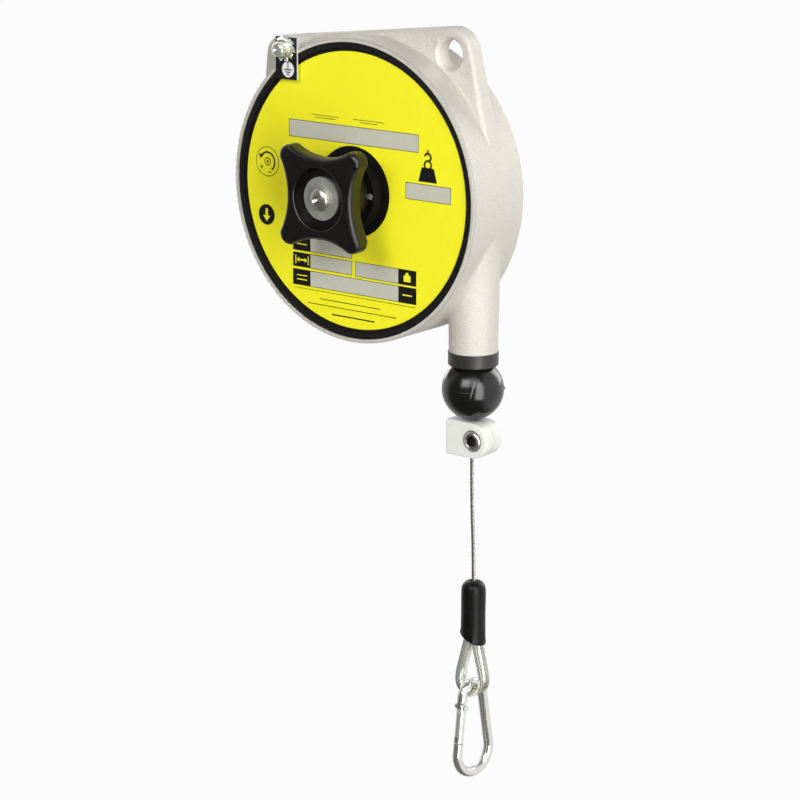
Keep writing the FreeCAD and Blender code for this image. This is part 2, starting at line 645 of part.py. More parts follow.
# Buffer ball: rubber, bored for the rope. Its origin is its centre.
ball = new_body("buffer_ball")
place(ball, *rope_point("dim.ball_centre"))
ball_sketch = sketch_on(ball, "half_sketch", "XZ_Plane", "0")
pole = sqrt(value("dim.ball_radius") ** 2 - value("dim.ball_bore") ** 2)
pole_angle = atan2(pole, value("dim.ball_bore"))
ball_sketch.addGeometry(Part.ArcOfCircle(
    Part.Circle(Vector(), Vector(0, 0, 1), value("dim.ball_radius")), -pole_angle, pole_angle))
ball_sketch.addGeometry(Part.LineSegment(Vector(value("dim.ball_bore"), pole, 0),
                                         Vector(value("dim.ball_bore"), -pole, 0)))
pin_point(ball_sketch, 0, 3, "0", "0")
set_radius(ball_sketch, 0, "dim.ball_radius")
ball_sketch.addConstraint(Sketcher.Constraint("Coincident", 0, 2, 1, 1))
ball_sketch.addConstraint(Sketcher.Constraint("Coincident", 1, 2, 0, 1))
ball_sketch.addConstraint(Sketcher.Constraint("Vertical", 1))
bore_index = ball_sketch.addConstraint(Sketcher.Constraint("DistanceX", -1, 1, 1, 1, value("dim.ball_bore")))
ball_sketch.setExpression("Constraints[%d]" % bore_index, "dim.ball_bore")
spin(ball, "ball", ball_sketch)

# Rope clamp: two nylon halves drawn together across the rope. Origin on the rope at mid height.
clamp_middle = "(dim.clamp_top + dim.clamp_height / 2)"
half_height = "(dim.clamp_height / 2)"
half_depth = "(dim.clamp_depth / 2)"


def clamp_outline(sketch):
    corner_x = "-dim.clamp_flat + dim.clamp_corner"
    corner_z = "%s - dim.clamp_corner" % half_height
    belt(sketch, [(corner_x, "-(%s)" % corner_z, "dim.clamp_corner"),
                  ("dim.clamp_round_x", "0", half_height),
                  (corner_x, corner_z, "dim.clamp_corner")])


for name, front in (("clamp_front", "-%s" % half_depth), ("clamp_rear", "dim.clamp_split / 2")):
    jaw = new_body(name)
    place(jaw, *rope_point(clamp_middle))
    extrude(jaw, "jaw", "XZ_Plane", front, "%s - dim.clamp_split / 2" % half_depth, clamp_outline)
    outer = value(half_depth) * (-1 if name == "clamp_front" else 1)
    dress(jaw, "rounded_edge", "dim.clamp_corner", lambda e: flat_edge(e, "Y", outer))
    extrude(jaw, "rope_groove", "XY_Plane", "-%s" % half_height, "dim.clamp_height",
            lambda s: circle(s, "0", "0", "dim.rope_radius"), cut=True)
    extrude(jaw, "screw_hole", "XZ_Plane", front, "%s - dim.clamp_split / 2" % half_depth,
            lambda s: circle(s, "dim.clamp_screw_x", "0", "dim.clamp_screw_radius"), cut=True)
    if name == "clamp_front":
        extrude(jaw, "head_seat", "XZ_Plane", front, "dim.clamp_head_height - dim.clamp_head_proud",
                lambda s: circle(s, "dim.clamp_screw_x", "0", "dim.clamp_head_seat"), cut=True)
    else:
        extrude(jaw, "nut_pocket", "XZ_Plane", "%s - dim.clamp_nut_height" % half_depth,
                "dim.clamp_nut_height",
                lambda s: hexagon(s, "dim.clamp_screw_x", "dim.clamp_nut_flats"), cut=True)

clamp_screw = new_body("clamp_screw")
place(clamp_screw, *rope_point(clamp_middle, "dim.clamp_screw_x"))
head_front = "(-%s - dim.clamp_head_proud)" % half_depth
head_back = "(%s + dim.clamp_head_height)" % head_front
turn(clamp_screw, "screw", [
    ("0", head_front), ("dim.clamp_head_radius - 0.6", head_front),
    ("dim.clamp_head_radius", head_front + " + 0.6"), ("dim.clamp_head_radius", head_back),
    ("dim.clamp_screw_radius", head_back), ("dim.clamp_screw_radius", half_depth), ("0", half_depth)])
extrude(clamp_screw, "socket", "XZ_Plane", head_front, "3.2",
        lambda s: hexagon(s, "0", "dim.clamp_socket_flats"), cut=True)

clamp_nut = new_body("clamp_nut")
place(clamp_nut, *rope_point(clamp_middle, "dim.clamp_screw_x"))
extrude(clamp_nut, "nut", "XZ_Plane", "%s - dim.clamp_nut_height" % half_depth, "dim.clamp_nut_height",
        lambda s: hexagon(s, "0", "dim.clamp_nut_flats"))
extrude(clamp_nut, "thread", "XZ_Plane", "%s - dim.clamp_nut_height" % half_depth, "dim.clamp_nut_height",
        lambda s: circle(s, "0", "0", "dim.clamp_screw_radius"), cut=True)

# Rope from the drum through the outlet and the ball to the bottom of the clamp.
clamp_bottom = "(dim.clamp_top + dim.clamp_height)"
lead = doc.addObject("Part::Cylinder", "rope_lead")
lead.Label = "rope_lead"
lead.setExpression("Radius", "dim.rope_radius")
lead.setExpression("Height", clamp_bottom)
place(lead, *rope_point(clamp_bottom))
subparts.append(lead)

# Free rope below the clamp: a slight set carries it sideways. Origin at the clamp's bottom.
tail_length = value("dim.ferrule_top - %s" % clamp_bottom)
tail_lean = value("dim.rope_lean")
ROUTE_SHARES = [(0.0, 0.0), (0.125, 0.32), (0.875, 0.67), (1.0, 1.0)]
route = [Vector(tail_lean * across, -tail_length * down, 0) for across, down in ROUTE_SHARES]


def rounded_route(points):
    """Straight runs joined by tangent arcs as large as the shorter run allows."""
    edges = []
    last = points[0]
    for before, corner, after in zip(points, points[1:], points[2:]):
        way_in, way_out = corner - before, after - corner
        half_bend = way_in.getAngle(way_out) / 2
        setback = 0.45 * min(way_in.Length, way_out.Length)
        radius = setback / tan(half_bend)
        print("rope_tail bend radius %.0f mm" % radius)
        arc_start = corner - way_in.normalize() * setback
        arc_end = corner + way_out.normalize() * setback
        inward = (way_out - way_in).normalize()
        middle = corner + inward * (hypot(radius, setback) - radius)
        edges.append(Part.LineSegment(last, arc_start))
        edges.append(Part.Arc(arc_start, middle, arc_end))
        last = arc_end
    edges.append(Part.LineSegment(last, points[-1]))
    return edges


tail = new_body("rope_tail")
place(tail, *rope_point(clamp_bottom))
tail_path = sketch_on(tail, "route", "XZ_Plane", "0")
tail_path.addGeometry(rounded_route(route))
tail_profile = sketch_on(tail, "section", "XY_Plane", "0")
circle(tail_profile, "0", "0", "dim.rope_radius")
pipe(tail, "rope", tail_path, tail_profile)

# Sleeve over the splice, its lower edge cut at a slant. Origin at its top.
sleeve = new_body("sleeve")
place(sleeve, *rope_point("dim.sleeve_top", "dim.rope_lean"))
sleeve_bore = "(dim.sleeve_radius - dim.sleeve_wall)"
turn(sleeve, "tube", [
    ("dim.rope_radius + 0.15", "0"), ("dim.sleeve_radius - 3.4", "-0.5"), ("dim.sleeve_radius - 1.2", "-1.9"),
    ("dim.sleeve_radius", "-4.4"), ("dim.sleeve_radius", "-dim.sleeve_length"),
    (sleeve_bore, "-dim.sleeve_length"), (sleeve_bore, "-4.6"),
    ("dim.sleeve_radius - 1.6", "-2.4"), ("dim.rope_radius + 0.15", "-1")], about_z=True)
extrude(sleeve, "slant", "XZ_Plane", "-dim.sleeve_radius", "2 * dim.sleeve_radius", lambda s: polygon(s, [
    ("-dim.sleeve_radius - 1", "-dim.sleeve_length + dim.sleeve_slant"),
    ("dim.sleeve_radius + 1", "-dim.sleeve_length"),
    ("-dim.sleeve_radius - 1", "-dim.sleeve_length")]), cut=True)

ferrule = new_body("ferrule")
place(ferrule, *rope_point("dim.ferrule_bottom", "dim.rope_lean"))
extrude(ferrule, "oval", "XY_Plane", "0", "dim.ferrule_bottom - dim.ferrule_top", lambda s: belt(s, [
    ("-dim.ferrule_pitch", "0", "dim.ferrule_radius"), ("dim.ferrule_pitch", "0", "dim.ferrule_radius")]))

# Eye: the thimble and the rope in its groove. Each is half a pear, mirrored: a quarter round, a
# wide side bend and a straight leg. Their origin is the centre of the round bottom of the eye.
path_radius = value("dim.eye_section_path")
side_radius = value("dim.eye_side_bend")
leg_angle = radians(value("dim.eye_leg_angle"))
leg_way = Vector(-sin(leg_angle), cos(leg_angle), 0)
eye_centre = Vector(*[value(e) for e in rope_point("dim.eye_centre", "dim.rope_lean")])


def half_eye(inset):
    """Quarter round and side bend, an inset inside the thimble's section path, and their end."""
    bottom = Part.Circle(Vector(), Vector(0, 0, 1), path_radius - inset)
    side = Part.Circle(Vector(path_radius - side_radius, 0, 0), Vector(0, 0, 1), side_radius - inset)
    bends = [Part.ArcOfCircle(bottom, -pi / 2, 0), Part.ArcOfCircle(side, 0, leg_angle)]
    return bends, bends[-1].EndPoint


def mirror_half(body, path):
    whole = body.newObject("PartDesign::Mirrored", "both_halves")
    whole.TransformMode = "Whole shape"
    whole.MirrorPlane = (path, ["V_Axis"])
    body.Tip = whole


def channel(sketch):
    """Half-round channel, open away from the eye."""
    outer, inner = value("dim.thimble_outer"), value("dim.thimble_inner")
    for size in ("dim.thimble_outer", "dim.thimble_inner"):
        whole = Part.Circle(Vector(0, -path_radius, 0), Vector(0, 0, 1), value(size))
        index = sketch.addGeometry(Part.ArcOfCircle(whole, 0, pi))
        pin_point(sketch, index, 3, "0", "-dim.eye_section_path")
        set_radius(sketch, index, size)
    for side in (1, -1):
        ends = [Vector(size * side, -path_radius, 0) for size in (outer, inner)]
        sketch.addGeometry(Part.LineSegment(*ends))
    for line, point in ((2, 1), (3, 2)):
        sketch.addConstraint(Sketcher.Constraint("Coincident", line, 1, 0, point))
        sketch.addConstraint(Sketcher.Constraint("Coincident", line, 2, 1, point))


thimble = new_body("thimble")
place(thimble, *rope_point("dim.eye_centre", "dim.rope_lean"))
thimble_path = sketch_on(thimble, "half_path", "XZ_Plane", "0")
bends, leg_foot = half_eye(0)
leg_length = (value("dim.thimble_top") - leg_foot.y) / cos(leg_angle)
thimble_path.addGeometry(bends + [Part.LineSegment(leg_foot, leg_foot + leg_way * leg_length)])
thimble_section = sketch_on(thimble, "section", "YZ_Plane", "0")
channel(thimble_section)
pipe(thimble, "channel", thimble_path, thimble_section)
extrude(thimble, "closed_point", "XZ_Plane", "-dim.thimble_outer - 1", "2 * dim.thimble_outer + 2",
        lambda s: rectangle(s, "-dim.eye_section_path", "0", "0", "dim.thimble_top + 2"), cut=True)
mirror_half(thimble, thimble_path)

rope_eye = new_body("rope_eye")
place(rope_eye, *rope_point("dim.eye_centre", "dim.rope_lean"))
rope_path = sketch_on(rope_eye, "half_path", "XZ_Plane", "0")
bends, leg_foot = half_eye(value("dim.thimble_inner - dim.rope_radius"))
splice_half = value("dim.rope_radius") + 0.05
splice_bend = value("dim.eye_splice_bend")
splice_corner = leg_foot + leg_way * ((leg_foot.x - splice_half) / sin(leg_angle))
setback = splice_bend * tan(leg_angle / 2)
leg_top = splice_corner - leg_way * setback
upright = splice_corner + Vector(0, setback, 0)
bend_middle = upright + Vector(splice_bend * (1 - cos(leg_angle / 2)), -splice_bend * sin(leg_angle / 2), 0)
splice_top = Vector(splice_half, value("dim.eye_centre - dim.ferrule_bottom"), 0)
rope_path.addGeometry(bends + [Part.LineSegment(leg_foot, leg_top), Part.Arc(leg_top, bend_middle, upright),
                               Part.LineSegment(upright, splice_top)])
rope_section = sketch_on(rope_eye, "section", "YZ_Plane", "0")
circle(rope_section, "0", "-dim.eye_section_path + dim.thimble_inner - dim.rope_radius", "dim.rope_radius")
pipe(rope_eye, "loop", rope_path, rope_section)
mirror_half(rope_eye, rope_path)

# Snap hook: a bent rod with a hinged gate. Origin at the gate's pin, own Z up along the gate.
top_bend = value("dim.carabiner_top_bend")
bottom_bend = value("dim.carabiner_bottom_bend")
hinge_drop = value("dim.carabiner_hinge_drop")
gate_run = value("dim.carabiner_gate_run")
top_centre = Vector(top_bend, hinge_drop, 0)
bottom_centre = Vector(bottom_bend, -gate_run, 0)
crown = path_radius - value("dim.thimble_outer")
link_drop = crown - value("dim.carabiner_rest_gap") + (top_bend - value("dim.carabiner_rod"))
link_centre = eye_centre - Vector(0, 0, link_drop)
hook_tilt = degrees(atan2(bottom_bend - top_bend, hinge_drop + gate_run))
hook_place = (Placement(link_centre, Rotation(Vector(0, 0, 1), value("dim.carabiner_turn")))
              * Placement(Vector(), Rotation(Vector(1, 0, 0), value("dim.carabiner_lean") - hook_tilt))
              * Placement(Vector(0, -top_centre.x, -top_centre.y), Rotation()))
print("carabiner swing axis at", link_centre, hook_place.Rotation.multVec(Vector(1, 0, 0)))
print("gate pin at", hook_place.Base)


def mirrored(point):
    """Mirror image in the hook's long axis, through the centres of its two bends."""
    along = (bottom_centre - top_centre).normalize()
    offset = point - top_centre
    return top_centre + along * (2 * offset.dot(along)) - offset


def bend(centre, start, end, middle_way):
    middle = centre + middle_way * (start - centre).Length
    return Part.Arc(start, middle, end)


shoulder_top = value("dim.gate_radius + dim.shoulder_gap")
shoulder_nose = value("dim.gate_length + dim.shoulder_gap")
long_axis = (top_centre - bottom_centre).normalize()
hook = new_body("carabiner_body")
hook.Placement = hook_place
hook_path = sketch_on(hook, "rod_path", "YZ_Plane", "0")
left_top, left_bottom = Vector(0, hinge_drop, 0), Vector(0, -gate_run, 0)
hook_path.addGeometry([
    Part.LineSegment(Vector(0, shoulder_top, 0), left_top),
    bend(top_centre, left_top, mirrored(left_top), long_axis),
    Part.LineSegment(mirrored(left_top), mirrored(left_bottom)),
    bend(bottom_centre, mirrored(left_bottom), left_bottom, long_axis * -1),
    Part.LineSegment(left_bottom, Vector(0, -shoulder_nose, 0))])
for first, first_end, second, second_end in ((0, 2, 1, 2), (1, 1, 2, 1), (2, 2, 3, 2), (3, 1, 4, 1)):
    hook_path.addConstraint(Sketcher.Constraint("Tangent", first, first_end, second, second_end))
pin_point(hook_path, 0, 1, "0", "dim.gate_radius + dim.shoulder_gap")
pin_point(hook_path, 1, 3, "dim.carabiner_top_bend", "dim.carabiner_hinge_drop")
set_radius(hook_path, 1, "dim.carabiner_top_bend")
pin_point(hook_path, 3, 3, "dim.carabiner_bottom_bend", "-dim.carabiner_gate_run")
set_radius(hook_path, 3, "dim.carabiner_bottom_bend")
pin_point(hook_path, 4, 2, "0", "-dim.gate_length - dim.shoulder_gap")
hook_section = sketch_on(hook, "rod_section", "XY_Plane", "dim.gate_radius + dim.shoulder_gap")
circle(hook_section, "0", "0", "dim.carabiner_rod")
pipe(hook, "rod", hook_path, hook_section)
extrude(hook, "hinge_tongue", "YZ_Plane", "-dim.gate_tongue / 2", "dim.gate_tongue", lambda s: belt(s, [
    ("0", "0", "2.1"), ("0", "dim.gate_radius + dim.shoulder_gap + 1.5", "2.1")]))
extrude(hook, "nose_tongue", "YZ_Plane", "-dim.nose_tongue / 2", "dim.nose_tongue",
        lambda s: rectangle(s, "-1.7", "-dim.gate_length - dim.shoulder_gap - 1",
                            "1.7", "-dim.gate_length - dim.shoulder_gap + 2.9"))
extrude(hook, "pin_hole", "YZ_Plane", "-dim.gate_tongue / 2", "dim.gate_tongue",
        lambda s: circle(s, "0", "0", "dim.gate_pin_radius"), cut=True)

gate_pin = new_body("gate_pin")
gate_pin.Placement = hook_place
pin_half = "(dim.gate_radius + 1)"
extrude(gate_pin, "pin", "YZ_Plane", "-" + pin_half, "2 * " + pin_half,
        lambda s: circle(s, "0", "0", "dim.gate_pin_radius"))
for name, inner_face in (("left_head", "-" + pin_half), ("right_head", "dim.gate_radius + 0.1")):
    extrude(gate_pin, name, "YZ_Plane", inner_face, "0.9", lambda s: circle(s, "0", "0", "dim.gate_pin_head"))

gate = new_body("carabiner_gate")
gate.Placement = hook_place
extrude(gate, "rod", "XY_Plane", "-dim.gate_length", "dim.gate_length + dim.gate_radius",
        lambda s: circle(s, "0", "0", "dim.gate_radius"))
dress(gate, "hinge_end", "dim.gate_radius - 0.05", lambda e: flat_edge(e, "Z", value("dim.gate_radius")))
extrude(gate, "hinge_slot", "YZ_Plane", "-dim.gate_slot / 2", "dim.gate_slot",
        lambda s: rectangle(s, "-4", "-3.4", "4", "4"), cut=True)
extrude(gate, "nose_slot", "YZ_Plane", "-dim.nose_slot / 2", "dim.nose_slot",
        lambda s: rectangle(s, "-4", "-dim.gate_length - 1", "4", "-dim.gate_length + 3"), cut=True)
extrude(gate, "pin_hole", "YZ_Plane", "-dim.gate_radius", "2 * dim.gate_radius",
        lambda s: circle(s, "0", "0", "dim.gate_pin_radius + dim.running_gap"), cut=True)

# Earth terminal on its boss: a tag with washers and a screw.
tag = new_body("earth_tag")
at_drum(tag)
tag_front = "(-dim.rim_proud - 1)"
extrude(tag, "plate", "XZ_Plane", tag_front, "1", lambda s: rectangle(
    s, "-dim.earth_x - 6.3", "dim.earth_z - 15", "-dim.earth_x + 7.1", "dim.earth_z + 5.6"))
extrude(tag, "hole", "XZ_Plane", tag_front, "1",
        lambda s: circle(s, "-dim.earth_x", "dim.earth_z", "dim.earth_screw_radius + 0.1"), cut=True)
earth_washers = new_body("earth_washers")
earth_screw = new_body("earth_screw")
for part in (earth_washers, earth_screw):
    place(part, "-dim.hole_x - dim.earth_x", "-(dim.ear_front + dim.ear_thick / 2)",
          "dim.earth_z - dim.hole_z")
washer_stack = "(%s - 2.8)" % tag_front
turn(earth_washers, "washers", [("dim.earth_screw_radius + 0.1", washer_stack), ("4.8", washer_stack),
                                ("4.8", "%s + 1.4" % washer_stack),
                                ("6.2", "%s + 1.4" % washer_stack), ("6.2", tag_front),
                                ("dim.earth_screw_radius + 0.1", tag_front)])
turn(earth_screw, "screw", [
    ("0", "%s - 4.4" % washer_stack), ("2.8", "%s - 4.4" % washer_stack), ("3.6", "%s - 3.4" % washer_stack),
    ("3.6", washer_stack), ("dim.earth_screw_radius", washer_stack),
    ("dim.earth_screw_radius", "-dim.rim_proud + dim.earth_hole_depth - 1"),
    ("0", "-dim.rim_proud + dim.earth_hole_depth - 1")])

doc.recompute()
failed = [o.Name for o in doc.Objects if "Invalid" in o.State or "Error" in o.State]
for part in subparts:
    if part.Shape.isNull() or not part.Shape.isValid():
        failed.append(part.Label)
if failed:
    raise RuntimeError("failed: " + ", ".join(failed))
os.makedirs("parts", exist_ok=True)
for part in subparts:
    part.Shape.exportStep(os.path.join("parts", part.Label + ".step"))
    print("%-18s solids %d volume %9.1f mm3" % (part.Label, len(part.Shape.Solids), part.Shape.Volume))
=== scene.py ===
from math import cos, pi, radians, sin

import bmesh
import bpy
from mathutils import Matrix, Vector


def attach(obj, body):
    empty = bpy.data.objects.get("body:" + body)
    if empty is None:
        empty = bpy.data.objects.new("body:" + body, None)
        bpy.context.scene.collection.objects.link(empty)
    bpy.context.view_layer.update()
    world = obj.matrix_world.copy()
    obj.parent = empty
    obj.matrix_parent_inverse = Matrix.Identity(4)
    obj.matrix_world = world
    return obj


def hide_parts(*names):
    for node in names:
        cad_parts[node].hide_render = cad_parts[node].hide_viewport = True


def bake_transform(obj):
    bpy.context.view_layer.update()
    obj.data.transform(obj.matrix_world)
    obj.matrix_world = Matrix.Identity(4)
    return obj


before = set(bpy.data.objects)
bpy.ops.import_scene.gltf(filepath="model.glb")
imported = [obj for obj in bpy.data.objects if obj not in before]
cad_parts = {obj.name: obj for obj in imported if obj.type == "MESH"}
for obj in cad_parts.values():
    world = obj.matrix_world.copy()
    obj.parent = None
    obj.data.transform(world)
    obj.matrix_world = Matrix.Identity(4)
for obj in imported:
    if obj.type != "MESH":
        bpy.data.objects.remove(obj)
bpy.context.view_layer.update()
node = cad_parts

# Case: one aluminium casting with its ears, its rope tube and the earth boss, blasted to a matt
# grain. Painted shade darkens the outer edge of its lip, and six ejector pins left faint rings on its back.


class Field:
    """A value that varies over a surface: an output socket of a material's nodes."""

    def __init__(self, tree, socket=None):
        self.tree = tree
        self.socket = socket

    def node(self, kind, settings, sockets, out=0):
        made = self.tree.nodes.new("ShaderNode" + kind)
        for name, setting in settings.items():
            setattr(made, name, setting)
        for key, given in sockets.items():
            self.feed(made.inputs[key], given)
        return Field(self.tree, made.outputs[out])

    def feed(self, socket, given):
        if isinstance(given, Field):
            self.tree.links.new(given.socket, socket)
        else:
            socket.default_value = given

    def math(self, operation, first, second=0.0):
        return self.node("Math", {"operation": operation}, {0: first, 1: second})

    def __add__(self, other):
        return self.math("ADD", self, other)

    def __radd__(self, other):
        return self.math("ADD", other, self)

    def __sub__(self, other):
        return self.math("SUBTRACT", self, other)

    def __rsub__(self, other):
        return self.math("SUBTRACT", other, self)

    def __mul__(self, other):
        return self.math("MULTIPLY", self, other)

    def __rmul__(self, other):
        return self.math("MULTIPLY", other, self)

    def __lt__(self, other):
        return self.math("LESS_THAN", self, other)

    def __gt__(self, other):
        return self.math("GREATER_THAN", self, other)

    def __or__(self, other):
        return self.math("MAXIMUM", self, other)

    def __abs__(self):
        return self.math("ABSOLUTE", self)

    def __pow__(self, power):
        return self.math("POWER", self, power)

    def waves(self, period):
        """A ripple from -1 to 1 that repeats after this period."""
        return self.math("SINE", self * (2 * pi / period))

    def rise(self, low, high):
        """0 below low, 1 above high and smooth between."""
        sockets = {"Value": self, "From Min": low, "From Max": high}
        return self.node("MapRange", {"interpolation_type": "SMOOTHSTEP"}, sockets)

    def mix(self, low, high):
        """Colour low where this field is 0, high where it is 1."""
        settings = {"data_type": "RGBA", "clamp_factor": True}
        return self.node("Mix", settings, {0: self, 6: low, 7: high}, out=2)

    def noise(self, scale, detail=2.0, roughness=0.5):
        """Grain of so many cells a metre at this position field."""
        sockets = {"Vector": self, "Scale": scale, "Detail": detail, "Roughness": roughness}
        return self.node("TexNoise", {"noise_dimensions": "3D"}, sockets)

    def stretched(self, along_x, along_y, along_z):
        """This position field, squeezed so that grain on it runs long."""
        return self.node("Mapping", {}, {"Vector": self, "Scale": (along_x, along_y, along_z)})

    def along(self, direction):
        """How far this direction field points along a direction."""
        return self.node("VectorMath", {"operation": "DOT_PRODUCT"}, {0: self, 1: direction}, out="Value")

    def axes(self):
        """The three coordinates of this position field, in millimetres."""
        split = self.node("SeparateXYZ", {}, {0: self})
        return [Field(self.tree, socket) * 1000.0 for socket in split.socket.node.outputs]


def finish(name, **constants):
    """A material with these constants on its shader, and the position field of its surface."""
    material = bpy.data.materials.new(name)
    material.use_nodes = True
    place = Field(material.node_tree).node("TexCoord", {}, {}, out="Object")
    for key, constant in constants.items():
        shader_of(material).inputs[key.replace("_", " ")].default_value = constant
    return material, place


def shader_of(material):
    return material.node_tree.nodes["Principled BSDF"]


def dress(material, place, height, depth, **fields):
    """Feed the shader's varying sockets, and a bump of this height field and depth in metres."""
    inputs = shader_of(material).inputs
    for key, field in fields.items():
        place.feed(inputs[key.replace("_", " ")], field)
    bump = place.node("Bump", {}, {"Strength": 1.0, "Distance": depth, "Height": height})
    place.feed(inputs["Normal"], bump)


def wear(material, *names):
    """Put this finish on the CAD nodes of these names."""
    for name in names:
        node[name].data.materials.clear()
        node[name].data.materials.append(material)


def grey(level, warm=0.0):
    """A grey of this level, tinted towards red by this share."""
    return (level * (1 + warm), level, level * (1 - 1.4 * warm), 1.0)


def around(x, z, centre_x, centre_z):
    """Distance in the plane of the label from this centre, in millimetres."""
    return ((x - centre_x) ** 2.0 + (z - centre_z) ** 2.0) ** 0.5


AXIS_X, AXIS_Z = -46.2, -69.0
BACK_PINS, PIN_CIRCLE, BACK_SIDE = 6, 52.0, 18.0
LIP_INNER, LIP_OUTER, LIP_FACE = 73.6, 74.3, -20.6
CAST_DARK, CAST_PALE = (0.51, 0.486, 0.43, 1.0), (0.76, 0.726, 0.65, 1.0)
cast, place = finish("blasted_cast_aluminium", Metallic=0.2, Specular_IOR_Level=0.5)
x, y, z = place.axes()
blast = place.noise(1150.0, 4.0, 0.7)
cloud = place.noise(40.0, 3.0)
skin = blast + 0.6 * place.noise(420.0, 2.0)
for pin in range(BACK_PINS):
    turn = 2 * pi * pin / BACK_PINS
    away = around(x, z, AXIS_X + PIN_CIRCLE * cos(turn), AXIS_Z + PIN_CIRCLE * sin(turn))
    skin = skin + 2.2 * (away.rise(2.6, 3.0) - 0.6 * away.rise(3.1, 4.0)) * (y > BACK_SIDE)
# Painted shade: a darker ring on the outer edge of the lip's face.
lip_edge_shade = around(x, z, AXIS_X, AXIS_Z).rise(LIP_INNER, LIP_OUTER) * (y < LIP_FACE)
tone = 0.30 + 0.25 * cloud + 0.40 * blast.rise(0.3, 0.7) - 0.5 * lip_edge_shade
dress(cast, place, skin, 0.00042, Base_Color=tone.mix(CAST_DARK, CAST_PALE), Roughness=0.44 + 0.2 * cloud)
wear(cast, "housing")

# Arbor and ratchet: turned steel shaft with the spring's hub, the toothed wheel that keeps the
# setting, and sintered bronze bushes where the shaft and the drum run.
bare_steel, place = finish("turned_steel", Metallic=1.0)
x, y, z = place.axes()
lathe = y.waves(0.45) + around(x, z, AXIS_X, AXIS_Z).waves(0.5)
oil = place.noise(120.0, 3.0)
dress(bare_steel, place, lathe, 0.00002, Base_Color=oil.mix(grey(0.34, 0.03), grey(0.56, 0.02)),
      Roughness=0.24 + 0.2 * oil)
wear(bare_steel, "spring_arbor", "ratchet_wheel", "pawl_rivets")

bronze, place = finish("sintered_bronze", Metallic=1.0)
pores = place.noise(2600.0, 2.0)
dress(bronze, place, pores, 0.00004, Base_Color=pores.mix((0.36, 0.20, 0.07, 1.0), (0.62, 0.40, 0.18, 1.0)),
      Roughness=0.34 + 0.2 * pores)
wear(bronze, "rear_bush", "drum_bushes")

# Drum: moulded grey plastic with the flat spiral spring in its chamber. The spring and the leaf
# pawl are blued strip.
drum_plastic, place = finish("grey_glass_filled_plastic", Specular_IOR_Level=0.4)
fibres = place.stretched(1.0, 5.0, 1.0).noise(900.0, 3.0)
dress(drum_plastic, place, fibres, 0.00003, Base_Color=fibres.mix(grey(0.10), grey(0.17, 0.02)),
      Roughness=0.42 + 0.2 * fibres)
wear(drum_plastic, "drum")

blued, place = finish("blued_spring_steel", Metallic=1.0)
heat = place.noise(60.0, 2.0)
rolled = place.stretched(1.0, 14.0, 1.0).noise(700.0, 2.0)
dress(blued, place, rolled, 0.00002, Base_Color=heat.mix((0.07, 0.09, 0.17, 1.0), (0.24, 0.23, 0.25, 1.0)),
      Roughness=0.22 + 0.16 * rolled)
wear(blued, "power_spring", "pawl_leaf")

# Cover: a black steel disc laid in the mouth of the case and held there by an internal snap ring.
# Both are phosphated, so they are matt with a fine speck.
black_steel, place = finish("black_phosphated_steel", Specular_IOR_Level=0.3)
speck = place.noise(1500.0, 3.0)
dress(black_steel, place, speck, 0.00006, Base_Color=speck.mix(grey(0.003), grey(0.013, 0.06)),
      Roughness=0.36 + 0.24 * speck)
wear(black_steel, "front_cover", "retaining_ring")

# Label: a printed yellow film on the cover, with blank fields for the user's entries, a plain
# sign for winding the knob, a plain weight and neutral rules.
film, place = finish("printed_label_film", Specular_IOR_Level=0.35)
x, y, z = place.axes()
x, z = x - AXIS_X, z - AXIS_Z


def panel(left, right, low, high):
    middle_x, middle_z = (left + right) / 2, (low + high) / 2
    return (abs(x - middle_x) < (right - left) / 2) * (abs(z - middle_z) < (high - low) / 2)


def spot(centre_x, centre_z, radius):
    return around(x, z, centre_x, centre_z) < radius


def hoop(centre_x, centre_z, radius, line):
    return abs(around(x, z, centre_x, centre_z) - radius) < line / 2


def wedge(first, second, third):
    """A triangle with its corners in counter-clockwise order."""
    whole = 1.0
    for start, end in ((first, second), (second, third), (third, first)):
        whole = whole * ((z - start[1]) * (end[0] - start[0]) - (x - start[0]) * (end[1] - start[1]) > 0.0)
    return whole


def any_of(masks):
    whole = masks[0]
    for mask in masks[1:]:
        whole = whole | mask
    return whole


LINE = 0.3
FIELDS = [(-40.3, 39.6, 23.5, 31.6), (32.5, 59.0, 0.7, 8.25), (-38.1, -0.9, -33.0, -26.4),
          (-38.1, -0.9, -41.2, -34.6), (1.5, 38.7, -41.5, -34.5), (-38.2, 38.8, -50.5, -43.0)]
CELLS = [(-38.1, -27.1, -33.0, -26.4), (-38.1, -27.1, -41.2, -34.6), (28.0, 38.7, -41.5, -34.5),
         (-38.2, -27.2, -50.5, -43.0), (28.1, 38.8, -50.5, -43.0)]
RULES = [(-37.5, 38.5, -52.3, -52.0), (-21.0, 17.0, -56.2, -55.8), (-29.0, 27.0, -59.2, -58.8),
         (-13.5, 13.5, -63.2, -62.5), (-26.0, -9.0, 35.2, 35.5), (0.0, 19.0, 35.2, 35.5),
         (-24.0, -11.0, 34.0, 34.3), (4.0, 15.0, 34.0, 34.3)]
CAPTION_RULES = [(-36.0, -29.4, -46.0, -45.5), (-36.0, -29.4, -48.1, -47.6), (30.6, 36.4, -47.1, -46.5),
                 (-36.0, -29.4, -30.2, -29.7)]
DIAL_X, DIAL_Z = -54.7, 9.0
DISC_X, DISC_Z = -55.5, -17.8
WEIGHT_X, WEIGHT_Z = 45.4, 9.6
outlines = any_of([panel(a - LINE, b + LINE, c - LINE, d + LINE) for a, b, c, d in FIELDS])
fields = any_of([panel(*edges) for edges in FIELDS])
wind = hoop(DIAL_X, DIAL_Z, 4.7, 0.9) * ((x - DIAL_X) + (z - DIAL_Z) > -1.0)
wind_tip = wedge((DIAL_X - 5.7, DIAL_Z + 3.7), (DIAL_X - 4.6, DIAL_Z + 1.2), (DIAL_X - 2.4, DIAL_Z + 3.2))
